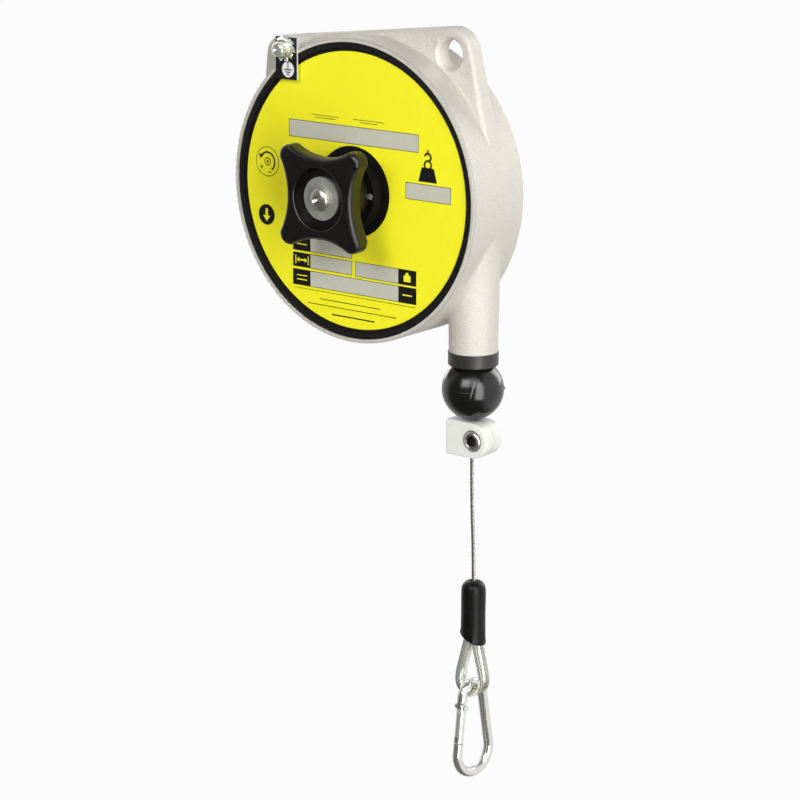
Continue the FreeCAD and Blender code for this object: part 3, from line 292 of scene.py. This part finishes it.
dial = any_of([hoop(DIAL_X, DIAL_Z, 7.3, 0.35), hoop(DIAL_X, DIAL_Z, 1.8, 0.5),
               spot(DIAL_X, DIAL_Z, 0.7), wind, wind_tip,
               panel(DIAL_X - 4.9, DIAL_X - 2.9, DIAL_Z - 3.2, DIAL_Z - 2.7),
               panel(DIAL_X - 4.15, DIAL_X - 3.65, DIAL_Z - 3.95, DIAL_Z - 1.95),
               panel(DIAL_X + 0.6, DIAL_X + 2.6, DIAL_Z - 5.4, DIAL_Z - 4.9)])
hook = hoop(WEIGHT_X, WEIGHT_Z + 12.0, 1.8, 1.1) * ((x > WEIGHT_X) | (z > WEIGHT_Z + 12.3))
weight = any_of([(abs(x - WEIGHT_X) < 5.6 - 0.28 * (z - WEIGHT_Z)) * (abs(z - WEIGHT_Z - 3.5) < 3.5),
                 hoop(WEIGHT_X, WEIGHT_Z + 8.3, 2.0, 1.0), hook,
                 panel(WEIGHT_X - 0.5, WEIGHT_X + 0.5, WEIGHT_Z + 13.6, WEIGHT_Z + 15.6)])
STROKE_Z = -37.9
stroke_sign = any_of([panel(-36.9, -36.3, STROKE_Z - 2.3, STROKE_Z + 2.3),
                      panel(-28.9, -28.3, STROKE_Z - 2.3, STROKE_Z + 2.3),
                      panel(-34.9, -30.3, STROKE_Z - 0.4, STROKE_Z + 0.4),
                      wedge((-36.0, STROKE_Z), (-34.4, STROKE_Z - 1.3), (-34.4, STROKE_Z + 1.3)),
                      wedge((-29.2, STROKE_Z), (-30.8, STROKE_Z + 1.3), (-30.8, STROKE_Z - 1.3))])
load_sign = panel(31.3, 35.5, -40.2, -37.0) | spot(33.4, -36.6, 1.0)
down_sign = panel(DISC_X - 0.8, DISC_X + 0.8, DISC_Z - 0.6, DISC_Z + 3.2) | wedge(
    (DISC_X - 2.4, DISC_Z - 0.4), (DISC_X, DISC_Z - 3.4), (DISC_X + 2.4, DISC_Z - 0.4))
solids = any_of([panel(*edges) for edges in CELLS] + [spot(DISC_X, DISC_Z, 5.2)])
knocked_out = any_of([panel(*edges) for edges in CAPTION_RULES] + [stroke_sign, load_sign, down_sign])
ink = any_of([outlines - fields, solids - knocked_out, dial, weight] + [panel(*edges) for edges in RULES])
ripple = place.noise(240.0, 2.0)
yellow = ripple.mix((0.95, 0.885, 0.018, 1.0), (0.985, 0.925, 0.028, 1.0))
blank = ripple.mix((0.55, 0.54, 0.44, 1.0), (0.60, 0.585, 0.485, 1.0))
printed = ink.mix((fields - solids).mix(yellow, blank), grey(0.008, 0.05))
dress(film, place, ripple, 0.00002, Base_Color=printed, Roughness=0.36 + 0.08 * ripple)
wear(film, "front_label")

# Knob bearing: a steel flange turned in two steps and blackened, screwed to the cover. It guides
# the knob's hub, and the tool left fine rings on its face.
blackened, place = finish("blackened_turned_steel", Specular_IOR_Level=0.06)
x, y, z = place.axes()
rings = around(x, z, AXIS_X, AXIS_Z).waves(0.6)
dull = place.noise(260.0, 3.0)
dress(blackened, place, rings, 0.000012, Base_Color=dull.mix(grey(0.002), grey(0.008, 0.06)),
      Roughness=0.40 + 0.2 * dull)
wear(blackened, "knob_collar")

# Knob: black moulded plastic on the square of the arbor, fine spark-eroded grain, edges rubbed
# smooth by the hand.
moulded, place = finish("black_moulded_plastic", Specular_IOR_Level=0.5)
pebble = place.noise(1500.0, 2.0, 0.6)
scuff = place.noise(170.0, 4.0, 0.7)
dust = place.noise(760.0, 1.0).rise(0.66, 0.74)
dress(moulded, place, pebble, 0.00007,
      Base_Color=(0.4 * scuff + 0.6 * dust).mix(grey(0.001, 0.05), grey(0.02, 0.2)),
      Roughness=0.22 + 0.22 * scuff)
wear(moulded, "tension_knob")

# Knob screw and washer: zinc-plated pan head with a cross recess on a plain dull washer. The
# lid of the spring chamber and the small screws have the same plating.
washer_zinc, place = finish("dull_zinc_plate", Metallic=0.8)
bloom = place.noise(210.0, 3.0)
tumbled = place.noise(1700.0, 2.0)
dress(washer_zinc, place, tumbled, 0.00003,
      Base_Color=bloom.mix((0.47, 0.49, 0.44, 1.0), (0.60, 0.60, 0.54, 1.0)), Roughness=0.40 + 0.2 * bloom)
wear(washer_zinc, "knob_washer", "drum_cover")

zinc, place = finish("bright_zinc_plate", Metallic=0.72)
tint = place.noise(150.0, 3.0)
drawn = place.stretched(1.0, 1.0, 0.25).noise(2100.0, 2.0)
dress(zinc, place, drawn, 0.000012, Base_Color=tint.mix((0.58, 0.68, 0.72, 1.0), (0.86, 0.80, 0.62, 1.0)),
      Roughness=0.16 + 0.15 * tint + 0.05 * drawn)
wear(zinc, "drum_cover_screws", "collar_screws", "clamp_nut")


def turned(profile, steps):
    """A shape turned round Z from (radius, height) points in millimetres."""
    shape = bmesh.new()
    corners = [shape.verts.new((radius / 1000, 0, height / 1000)) for radius, height in profile]
    edges = [shape.edges.new(pair) for pair in zip(corners, corners[1:])]
    bmesh.ops.spin(shape, geom=corners + edges, cent=(0, 0, 0), axis=(0, 0, 1), angle=2 * pi, steps=steps,
                   use_merge=True)
    bmesh.ops.remove_doubles(shape, verts=shape.verts, dist=1e-6)
    bmesh.ops.recalc_face_normals(shape, faces=shape.faces)
    return shape


def mesh_of(shape, name):
    """A mesh of this shape, which is used up."""
    mesh = bpy.data.meshes.new(name)
    shape.to_mesh(mesh)
    shape.free()
    return mesh


def linked(name, data):
    """An object of this data, linked to the scene."""
    made = bpy.data.objects.new(name, data)
    bpy.context.scene.collection.objects.link(made)
    return made


def evaluated(holder):
    """A mesh of this object with its modifiers or its bevel applied."""
    return bpy.data.meshes.new_from_object(holder.evaluated_get(bpy.context.evaluated_depsgraph_get()))


def cut(shape, tool):
    """What the tool leaves of a shape."""
    blank, cutter = [linked("blank", mesh_of(solid, "blank")) for solid in (shape, tool)]
    boolean = blank.modifiers.new("cut", "BOOLEAN")
    boolean.operation = "DIFFERENCE"
    boolean.solver = "EXACT"
    boolean.object = cutter
    mesh = evaluated(blank)
    left = bmesh.new()
    left.from_mesh(mesh)
    for spent in (blank.data, cutter.data, mesh):
        bpy.data.meshes.remove(spent)
    return left


def turn_about(shape, axis, degrees, verts):
    """Turn some points of a shape about an axis through the origin."""
    bmesh.ops.rotate(shape, cent=(0, 0, 0), matrix=Matrix.Rotation(radians(degrees), 3, axis), verts=verts)


def blade(length, thick, depth, top, turn):
    """One tapered wing of a cross recess, in millimetres, with its top at this height."""
    wing = bmesh.new()
    bmesh.ops.create_cube(wing, size=1.0)
    bmesh.ops.scale(wing, vec=(length / 1000, thick / 1000, depth / 1000), verts=wing.verts)
    tip = [vert for vert in wing.verts if vert.co.z < 0]
    bmesh.ops.scale(wing, vec=(0.35, 0.6, 1.0), verts=tip)
    turn_about(wing, "Z", turn, wing.verts)
    bmesh.ops.translate(wing, vec=(0, 0, (top - depth / 2) / 1000), verts=wing.verts)
    return wing


def cross_recess(screw, turn, *wing):
    """Cut two crossed wings of these sizes into a screw's head."""
    return cut(cut(screw, blade(*wing, turn)), blade(*wing, turn + 90))


def face_front(shape, *at):
    """Turn a shape made along Z to the front, and put its foot at this place in millimetres."""
    turn_about(shape, "X", 90, shape.verts)
    bmesh.ops.translate(shape, vec=Vector(at) / 1000, verts=shape.verts)


SHARP_DEGREES = 38


def piece(name, shape, material, body, slot, *replaced):
    """Make the shape an object that rides on a body, in place of the CAD nodes named last."""
    mesh = mesh_of(shape, name)
    mesh.shade_smooth()
    mesh.set_sharp_from_angle(angle=radians(SHARP_DEGREES))
    mesh.materials.append(material)
    made = linked(name, mesh)
    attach(made, body)
    if replaced:
        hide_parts(*replaced)
    return made


screw_zinc, place = finish("handled_zinc_plate", Metallic=0.9)
brown = place.noise(330.0, 3.0)
dress(screw_zinc, place, brown, 0.00003,
      Base_Color=brown.mix((0.40, 0.35, 0.31, 1.0), (0.70, 0.66, 0.60, 1.0)), Roughness=0.24 + 0.16 * brown)
PAN_SEAT = -44.6
PAN_HEAD = [(0, -14.0), (3.0, -14.0), (3.0, 0), (5.3, 0), (5.6, 0.35), (5.6, 1.1), (5.4, 1.75),
            (4.9, 2.35), (4.1, 2.85), (3.0, 3.2), (1.6, 3.42), (0, 3.48)]
screw = cross_recess(turned(PAN_HEAD, 72), 28, 7.2, 1.4, 3.0, 4.1)
face_front(screw, AXIS_X, PAN_SEAT, AXIS_Z)
piece("knob_pan_screw", screw, screw_zinc, "knob", "zinc_steel", "knob_screw")

# Pin marks: the ejector pins of the die left two round marks with a raised edge on the right ear,
# beside the suspension hole. They are part of the casting.
EAR_FACE = -5.0
PIN_MARK = [(0, -0.5), (3.5, -0.5), (3.5, 0.0), (3.1, 0.24), (2.9, 0.26), (2.65, 0.02), (0, 0.02)]
for side, mark_x, mark_z in (("inner", -9.5, 6.2), ("outer", 9.9, -5.6)):
    mark = turned(PIN_MARK, 48)
    face_front(mark, mark_x, EAR_FACE, mark_z)
    piece(side + "_pin_mark", mark, cast, "housing", "cast_aluminium")

# Earth terminal: a black tag with a white earth sign under a plain washer, a toothed lock washer
# and a zinc-plated screw, on the boss of the left ear.
EARTH_X, EARTH_Z, TAG_FACE = -86.2, -2.5, -23.0
SIGN_X, SIGN_Z = -84.7, -12.6
tag, place = finish("printed_black_tag", Specular_IOR_Level=0.35)
x, y, z = place.axes()
face = y < TAG_FACE + 0.06
sign = face * (around(x, z, SIGN_X, SIGN_Z) < 3.85)
SIGN_BARS = [(0.3, 2.1, 2.1), (2.6, -0.1, 0.3), (1.7, -1.3, 0.3), (0.8, -2.5, 0.3)]
strokes = 0.0
for half_width, above, half_height in SIGN_BARS:
    bar = (abs(x - SIGN_X) < half_width) * (abs(z - (SIGN_Z + above)) < half_height)
    strokes = bar + strokes - bar * strokes
speck = place.noise(1300.0, 3.0)
edge = 1.0 - face
black, white = speck.mix(grey(0.004), grey(0.012, 0.05)), speck.mix(grey(0.78), grey(0.86, 0.02))
painted = (sign - sign * strokes).mix(black, white)
dress(tag, place, speck, 0.00004, Base_Color=edge.mix(painted, grey(0.62, 0.02)),
      Roughness=0.34 + 0.2 * speck)
wear(tag, "earth_tag")

PLAIN_WASHER = [(2.7, 1.35), (4.7, 1.35), (4.8, 1.45), (4.8, 2.7), (4.7, 2.8), (2.7, 2.8), (2.7, 1.35)]
LOCK_WASHER = [(2.7, 0.25), (4.8, 0.25), (4.8, 1.05), (2.7, 1.05), (2.7, 0.25)]
TEETH, TOOTH_SIZE, TOOTH_TWIST = 9, (0.0019, 0.0026, 0.0008), 24
stack = turned(PLAIN_WASHER, 64)
ring = turned(LOCK_WASHER, 64)
for tooth in range(TEETH):
    made = bmesh.ops.create_cube(ring, size=1.0)["verts"]
    bmesh.ops.scale(ring, vec=TOOTH_SIZE, verts=made)
    outer = [vert for vert in made if vert.co.x > 0]
    bmesh.ops.scale(ring, vec=(1.0, 1.25, 1.0), verts=outer)
    turn_about(ring, "X", TOOTH_TWIST, made)
    bmesh.ops.translate(ring, vec=(0.00515, 0, 0.00065), verts=made)
    turn_about(ring, "Z", 360 * tooth / TEETH, made)
face_front(stack, EARTH_X, TAG_FACE, EARTH_Z)
face_front(ring, EARTH_X, TAG_FACE, EARTH_Z)
piece("earth_plain_washer", stack, zinc, "housing", "zinc_steel")
piece("earth_lock_washer", ring, zinc, "housing", "zinc_steel", "earth_washers")

CHEESE_HEAD = [(0, -14.0), (2.5, -14.0), (2.5, 0), (3.4, 0), (3.6, 0.2), (3.6, 3.0), (3.45, 3.6),
               (3.0, 4.0), (2.2, 4.3), (1.2, 4.4), (0, 4.4)]
screw = cross_recess(turned(CHEESE_HEAD, 60), 12, 4.6, 1.0, 2.4, 4.9)
face_front(screw, EARTH_X, TAG_FACE - 2.8, EARTH_Z)
piece("earth_cross_screw", screw, zinc, "housing", "zinc_steel", "earth_screw")

# Rope guide: black plastic bush pressed up into the outlet tube, with faint mould streaks down
# its collar.
guide, place = finish("black_guide_plastic", Specular_IOR_Level=0.45)
streak = place.stretched(1.0, 1.0, 0.12).noise(620.0, 3.0)
dress(guide, place, streak, 0.00004, Base_Color=streak.mix(grey(0.008, 0.06), grey(0.045, 0.08)),
      Roughness=0.30 + 0.22 * streak)
wear(guide, "outlet_bush")

# Buffer ball: moulded black rubber on the rope, polished by handling, with the mould's parting
# seam down its front, a faint line round its middle and the nub of the gate at its side.
BALL = Vector((13.8, -1.6, -161.5))
BALL_RADIUS = 15.2
rubber, place = finish("polished_black_rubber", Specular_IOR_Level=0.5)
x, y, z = place.axes()
seam_side = (x - BALL.x) * 0.80 + (y - BALL.y) * 0.60
seam = 1.0 - abs(seam_side - 0.25 * (z - BALL.z) + 0.4).rise(0.2, 1.1)
middle = 1.0 - abs(z - BALL.z - 1.6).rise(0.08, 0.3)
haze = place.noise(150.0, 3.0)
dress(rubber, place, place.noise(900.0, 2.0) * 0.12 - seam - 0.35 * middle, 0.00012,
      Base_Color=haze.mix(grey(0.003), grey(0.012, 0.06)), Roughness=0.13 + 0.14 * haze)
wear(rubber, "buffer_ball")

GATE_SIDE, GATE_TURN = Vector((0.788, 0.615, 0.03)), 38
nub = bmesh.new()
bmesh.ops.create_uvsphere(nub, u_segments=20, v_segments=12, radius=0.001)
bmesh.ops.scale(nub, vec=(0.55, 1.0, 1.0), verts=nub.verts)
turn_about(nub, "Z", GATE_TURN, nub.verts)
nub_centre = BALL + GATE_SIDE * (BALL_RADIUS - 0.1)
bmesh.ops.translate(nub, vec=nub_centre / 1000, verts=nub.verts)
piece("ball_gate_nub", nub, rubber, "hook_line", "black_rubber")

# Rope clamp: two natural nylon jaws drawn together on the rope by a socket cap screw in a sunk
# seat, with its nut let into the rear jaw.
nylon, place = finish("natural_nylon", Subsurface_Weight=0.4, Subsurface_Scale=0.004,
                      Subsurface_Radius=(1.0, 1.0, 0.9), Specular_IOR_Level=0.45)
milk = place.noise(150.0, 3.0)
dress(nylon, place, place.noise(700.0), 0.00004,
      Base_Color=milk.mix((0.80, 0.815, 0.735, 1.0), (0.87, 0.88, 0.815, 1.0)), Roughness=0.30 + 0.16 * milk)
wear(nylon, "clamp_front", "clamp_rear")

CAP_X, CAP_FACE, CAP_Z = 18.7, -9.5, -185.7
CAP_HEIGHT = 6.0
cap_zinc, place = finish("oiled_zinc_plate_painted_socket_shade", Metallic=0.9)
x, y, z = place.axes()
from_axis = around(x, z, CAP_X, CAP_Z)
# Painted shade: the inside of the hex socket is painted dark brown.
socket_shade = (from_axis < 3.2) * (abs(y - CAP_FACE - 2.2) < 1.8)
rolled = place.noise(800.0, 3.0)
plated = rolled.mix((0.46, 0.44, 0.40, 1.0), (0.80, 0.78, 0.72, 1.0))
dress(cap_zinc, place, rolled, 0.00002, Base_Color=socket_shade.mix(plated, (0.075, 0.062, 0.05, 1.0)),
      Roughness=0.16 + 0.16 * rolled + 0.2 * socket_shade)
CAP_HEAD = [(0, -8.8), (2.95, -8.8), (2.95, 0), (4.7, 0), (4.9, 0.3), (4.9, 4.7), (4.75, 5.3), (4.3, 5.75),
            (3.6, CAP_HEIGHT), (0, CAP_HEIGHT)]
cap_screw = turned(CAP_HEAD, 60)
grip = [face for face in cap_screw.faces if face.calc_center_median().xy.length > 0.00485]
bmesh.ops.inset_individual(cap_screw, faces=grip, thickness=0.00008, depth=-0.00012)
for sides, radius, depth in ((6, 2.89, 3.2), (48, 3.35, 0.35)):
    key_hole = bmesh.new()
    bmesh.ops.create_cone(key_hole, cap_ends=True, segments=sides, depth=2 * depth / 1000,
                          radius1=radius / 1000, radius2=radius / 1000)
    bmesh.ops.translate(key_hole, vec=(0, 0, CAP_HEIGHT / 1000), verts=key_hole.verts)
    cap_screw = cut(cap_screw, key_hole)
face_front(cap_screw, CAP_X, CAP_FACE + CAP_HEIGHT, CAP_Z)
piece("clamp_cap_screw", cap_screw, cap_zinc, "hook_line", "zinc_steel", "clamp_screw")

# Rope: 2 mm galvanised wire rope of six strands round a core. It leaves the drum, runs through
# the tube, the ball and the clamp, hangs free to the splice and turns round the thimble.
wire, place = finish("galvanised_wire", Metallic=0.88)
tarnish = place.noise(420.0, 2.0)
dress(wire, place, place.noise(3000.0), 0.00003, Base_Color=tarnish.mix(grey(0.20, 0.06), grey(0.48, 0.05)),
      Roughness=0.20 + 0.16 * tarnish)
wear(wire, "rope_lead", "rope_tail", "rope_eye", "rope_winding")

ROPE_RADIUS = 0.001
ROPE_LAY = 0.0125
STRANDS = 6


def rope_line(points):
    """Points along a smooth line that follows the route, from a spline with no bevel."""
    curve = bpy.data.curves.new("route", "CURVE")
    curve.dimensions = "3D"
    curve.resolution_u = 40
    spline = curve.splines.new("NURBS")
    spline.points.add(len(points) - 1)
    for point, at in zip(spline.points, points):
        point.co = (*at, 1.0)
    spline.order_u = 3
    spline.use_endpoint_u = True
    holder = linked("route", curve)
    mesh = evaluated(holder)
    line = [vertex.co.copy() for vertex in mesh.vertices]
    bpy.data.objects.remove(holder)
    bpy.data.meshes.remove(mesh)
    return line


def stranded(name, line):
    """Strands laid right-handed round a core along a line that stays square to Y."""
    curve = bpy.data.curves.new(name, "CURVE")
    curve.dimensions = "3D"
    curve.bevel_depth = ROPE_RADIUS / 3
    curve.bevel_resolution = 2
    curve.use_fill_caps = True
    run = [0.0]
    for before, after in zip(line, line[1:]):
        run.append(run[-1] + (after - before).length)
    across = Vector((0, 1, 0))
    for strand in range(STRANDS + 1):
        spline = curve.splines.new("POLY")
        spline.points.add(len(line) - 1)
        for i, point in enumerate(line):
            tangent = (line[min(i + 1, len(line) - 1)] - line[max(i - 1, 0)]).normalized()
            turn = 2 * pi * (run[i] / ROPE_LAY + strand / STRANDS)
            reach = 0.0 if strand == STRANDS else ROPE_RADIUS * 2 / 3
            offset = across * cos(turn) + tangent.cross(across) * sin(turn)
            spline.points[i].co = (*(point + offset * reach), 1.0)
    holder = linked(name, curve)
    mesh = evaluated(holder)
    bpy.data.objects.remove(holder)
    mesh.shade_smooth()
    mesh.materials.clear()
    mesh.materials.append(wire)
    rope = linked(name, mesh)
    return rope


CLAMP_FOOT = Vector((0.0138, -0.0016, -0.1945))
LEAD_TOP = Vector((0.0138, -0.0016, -0.069))
LEAD_ROUTE = [LEAD_TOP, (0.0138, -0.0016, -0.11), (0.0138, -0.0016, -0.155), CLAMP_FOOT]
lead = stranded("rope_through_outlet", rope_line(LEAD_ROUTE))
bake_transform(lead)
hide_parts("rope_lead")

TAIL_ROUTE = [(0.0, 0.0), (0.00025, -0.02352), (0.00175, -0.049245), (0.002, -0.0735)]
tail_line = rope_line([CLAMP_FOOT + Vector((across, 0, down)) for across, down in TAIL_ROUTE])
tail = stranded("free_rope", tail_line)
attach(tail, "hook_line")
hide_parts("rope_tail")

EYE_CENTRE = Vector((0.0158, -0.0016, -0.31125))
EYE_ROUTE = [(-1.05, 28.75), (-1.05, 21.94), (-6.0, 2.8), (-6.0, -2.485), (-2.485, -6.0),
             (2.485, -6.0), (6.0, -2.485), (6.0, 2.8), (1.05, 21.94), (1.05, 28.75)]
eye_line = rope_line([EYE_CENTRE + Vector((across, 0, up)) / 1000 for across, up in EYE_ROUTE])
eye = stranded("rope_loop", eye_line)
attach(eye, "hook_line")
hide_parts("rope_eye")

# Splice: a swaged soft aluminium ferrule on the rope's eye, under a black heat-shrunk sleeve cut
# aslant at its foot, where it has curled out a little.
soft_aluminium, place = finish("swaged_aluminium", Metallic=1.0)
pressed = place.noise(500.0, 3.0)
dress(soft_aluminium, place, pressed, 0.00005, Base_Color=pressed.mix(grey(0.58), grey(0.74, 0.01)),
      Roughness=0.35 + 0.2 * pressed)
wear(soft_aluminium, "ferrule")

shrunk, place = finish("black_heat_shrink", Specular_IOR_Level=0.16)
crease = place.stretched(1.0, 1.0, 0.3).noise(260.0, 3.0)
dress(shrunk, place, crease + 0.3 * place.noise(1200.0), 0.0002,
      Base_Color=crease.mix(grey(0.002), grey(0.010, 0.05)), Roughness=0.28 + 0.22 * crease)
SLEEVE_TOP = Vector((15.8, -1.6, -259.0))
SLEEVE_WALL = 0.00085
SLEEVE = [(1.25, 0.0), (2.2, -0.05), (3.4, -0.35), (4.4, -0.95), (5.2, -1.8), (5.75, -2.9), (6.05, -4.3),
          (6.15, -6.5), (6.15, -11.0), (6.1, -16.0), (6.12, -21.0), (6.2, -26.0), (6.3, -31.0), (6.3, -38.0)]
SLANT_AT, SLANT_NORMAL, CURL_BELOW = (0, 0, -0.0293), (-0.466, 0, -0.885), -0.02
sleeve = turned(SLEEVE, 72)
inward = [face for face in sleeve.faces if face.normal.xy.dot(face.calc_center_median().xy) < 0]
bmesh.ops.reverse_faces(sleeve, faces=inward)
bmesh.ops.bisect_plane(sleeve, geom=sleeve.verts[:] + sleeve.edges[:] + sleeve.faces[:], dist=1e-6,
                       plane_co=SLANT_AT, plane_no=SLANT_NORMAL, clear_outer=True)
for vert in sleeve.verts:
    if vert.is_boundary and vert.co.z < CURL_BELOW:
        vert.co.xy *= 1.045 - 2.5 * vert.co.x
bmesh.ops.translate(sleeve, vec=SLEEVE_TOP / 1000, verts=sleeve.verts)
splice_sleeve = piece("splice_sleeve", sleeve, shrunk, "hook_line", "black_rubber", "sleeve")
wall = splice_sleeve.modifiers.new("wall", "SOLIDIFY")
wall.thickness = SLEEVE_WALL
wall.offset = -1.0

# Thimble and snap hook: zinc-plated steel, the thimble pressed from strip, the hook bent from
# 5 mm rod with a sprung gate on a riveted pin. The bending rollers marked the hook's spine.
wear(zinc, "thimble", "carabiner_gate", "gate_pin")
hook_zinc, place = finish("roller_marked_zinc_plate", Metallic=0.85)
x, y, z = place.axes()
tint = place.noise(120.0, 3.0)
worn = place.noise(300.0, 2.0)
marks = (z + 0.8 * worn).waves(1.6) * y.rise(0.0, 4.0) * (z + 350.0).rise(0.0, 6.0) * worn
dress(hook_zinc, place, 0.4 * marks + 0.2 * place.noise(900.0), 0.00004,
      Base_Color=tint.mix((0.57, 0.62, 0.64, 1.0), (0.80, 0.75, 0.65, 1.0)), Roughness=0.11 + 0.14 * tint)
wear(hook_zinc, "carabiner_body")

# Studio: pale paper below the reach of the pulled-out rope, a tall soft lamp from the right, a weaker
# one in front and two behind. Polish mirrors a dark room with a window in front and white behind.
FLOOR_Z, FLOOR_SIZE = -2.1, 40.0
floor_shape = bmesh.new()
bmesh.ops.create_grid(floor_shape, x_segments=1, y_segments=1, size=FLOOR_SIZE)
bmesh.ops.translate(floor_shape, vec=(0, 0, FLOOR_Z), verts=floor_shape.verts)
sheet = mesh_of(floor_shape, "floor")
floor = linked("floor", sheet)
floor.visible_glossy = False
paper, place = finish("studio_paper", Base_Color=(0.50, 0.50, 0.49, 1.0), Roughness=0.9)
tree = paper.node_tree


def rays(field, *kinds):
    """1 where a ray is of one of these kinds."""
    return any_of([field.node("LightPath", {}, {}, out="Is %s Ray" % kind) for kind in kinds])


seen = rays(place, "Camera", "Transmission")
white = place.node("Emission", {}, {"Color": (1, 1, 1, 1), "Strength": 1.0})
lit = Field(tree, shader_of(paper).outputs[0])
mixed = place.node("MixShader", {}, {0: seen * 0.97, 1: lit, 2: white})
tree.links.new(mixed.socket, tree.nodes["Material Output"].inputs["Surface"])
sheet.materials.append(paper)

world = bpy.data.worlds.new("studio")
bpy.context.scene.world = world
world.use_nodes = True
sky = Field(world.node_tree)
seen = rays(sky, "Camera", "Transmission")
mirrored = rays(sky, "Glossy")
look = sky.node("TexCoord", {}, {}, out="Generated")
BEHIND, WINDOW_RIGHT, WINDOW_UP = (-0.60, 0.77, 0.2), (0.788, 0.616, 0.0), (-0.36, 0.46, 0.81)
FRONT_DARK, WINDOW_LEVEL, FILL_LEVEL, SEEN_WHITE = 0.06, 3.0, 0.15, 0.975
behind, aside, aloft = look.along(BEHIND), look.along(WINDOW_RIGHT), look.along(WINDOW_UP)
window = (1.0 - abs(aside).rise(0.32, 0.42)) * (1.0 - abs(aloft).rise(0.22, 0.32)) * (behind < 0.0)
white_sides = 0.8 * behind.rise(-0.1, 0.5) | 0.95 * aside.rise(0.35, 0.75)
room = FRONT_DARK + white_sides + WINDOW_LEVEL * window
level = FILL_LEVEL + (room - FILL_LEVEL) * mirrored
background = world.node_tree.nodes["Background"].inputs
sky.feed(background["Strength"], level + (SEEN_WHITE - level) * seen)
background["Color"].default_value = (1, 1, 1, 1)

AIM = Vector((-0.03, 0.0, -0.17))
LAMPS = [("right_lamp", (1.66, -0.95, -0.05), 43.0, 1.0, 2.2),
         ("front_lamp", (0.1, -1.75, 0.9), 17.5, 0.9, 0.9),
         ("back_lamp", (0.3, 1.8, 0.5), 16.0, 1.0, 1.4),
         ("left_lamp", (-1.5, 0.8, 0.4), 9.0, 0.8, 1.4)]
for name, stand, power, width, height in LAMPS:
    lamp = bpy.data.lights.new(name, "AREA")
    lamp.energy = power
    lamp.shape = "RECTANGLE"
    lamp.size = width
    lamp.size_y = height
    holder = linked(name, lamp)
    holder.location = stand
    holder.rotation_euler = (AIM - Vector(stand)).to_track_quat("-Z", "Y").to_euler()

EYE_POINT = (0.74458, -0.99619, 0.15666)
AZIMUTH, ELEVATION, ROLL = 37.949, 14.717, 0.310
camera = bpy.data.cameras.new("camera")
camera.lens = 118.04
camera.sensor_width = 36.0
viewer = linked("camera", camera)
aimed = Matrix.Rotation(radians(AZIMUTH), 4, "Z") @ Matrix.Rotation(radians(90 - ELEVATION), 4, "X")
viewer.matrix_world = Matrix.Translation(EYE_POINT) @ aimed @ Matrix.Rotation(radians(ROLL), 4, "Z")
bpy.context.scene.camera = viewer
bpy.context.scene.view_settings.view_transform = "Standard"
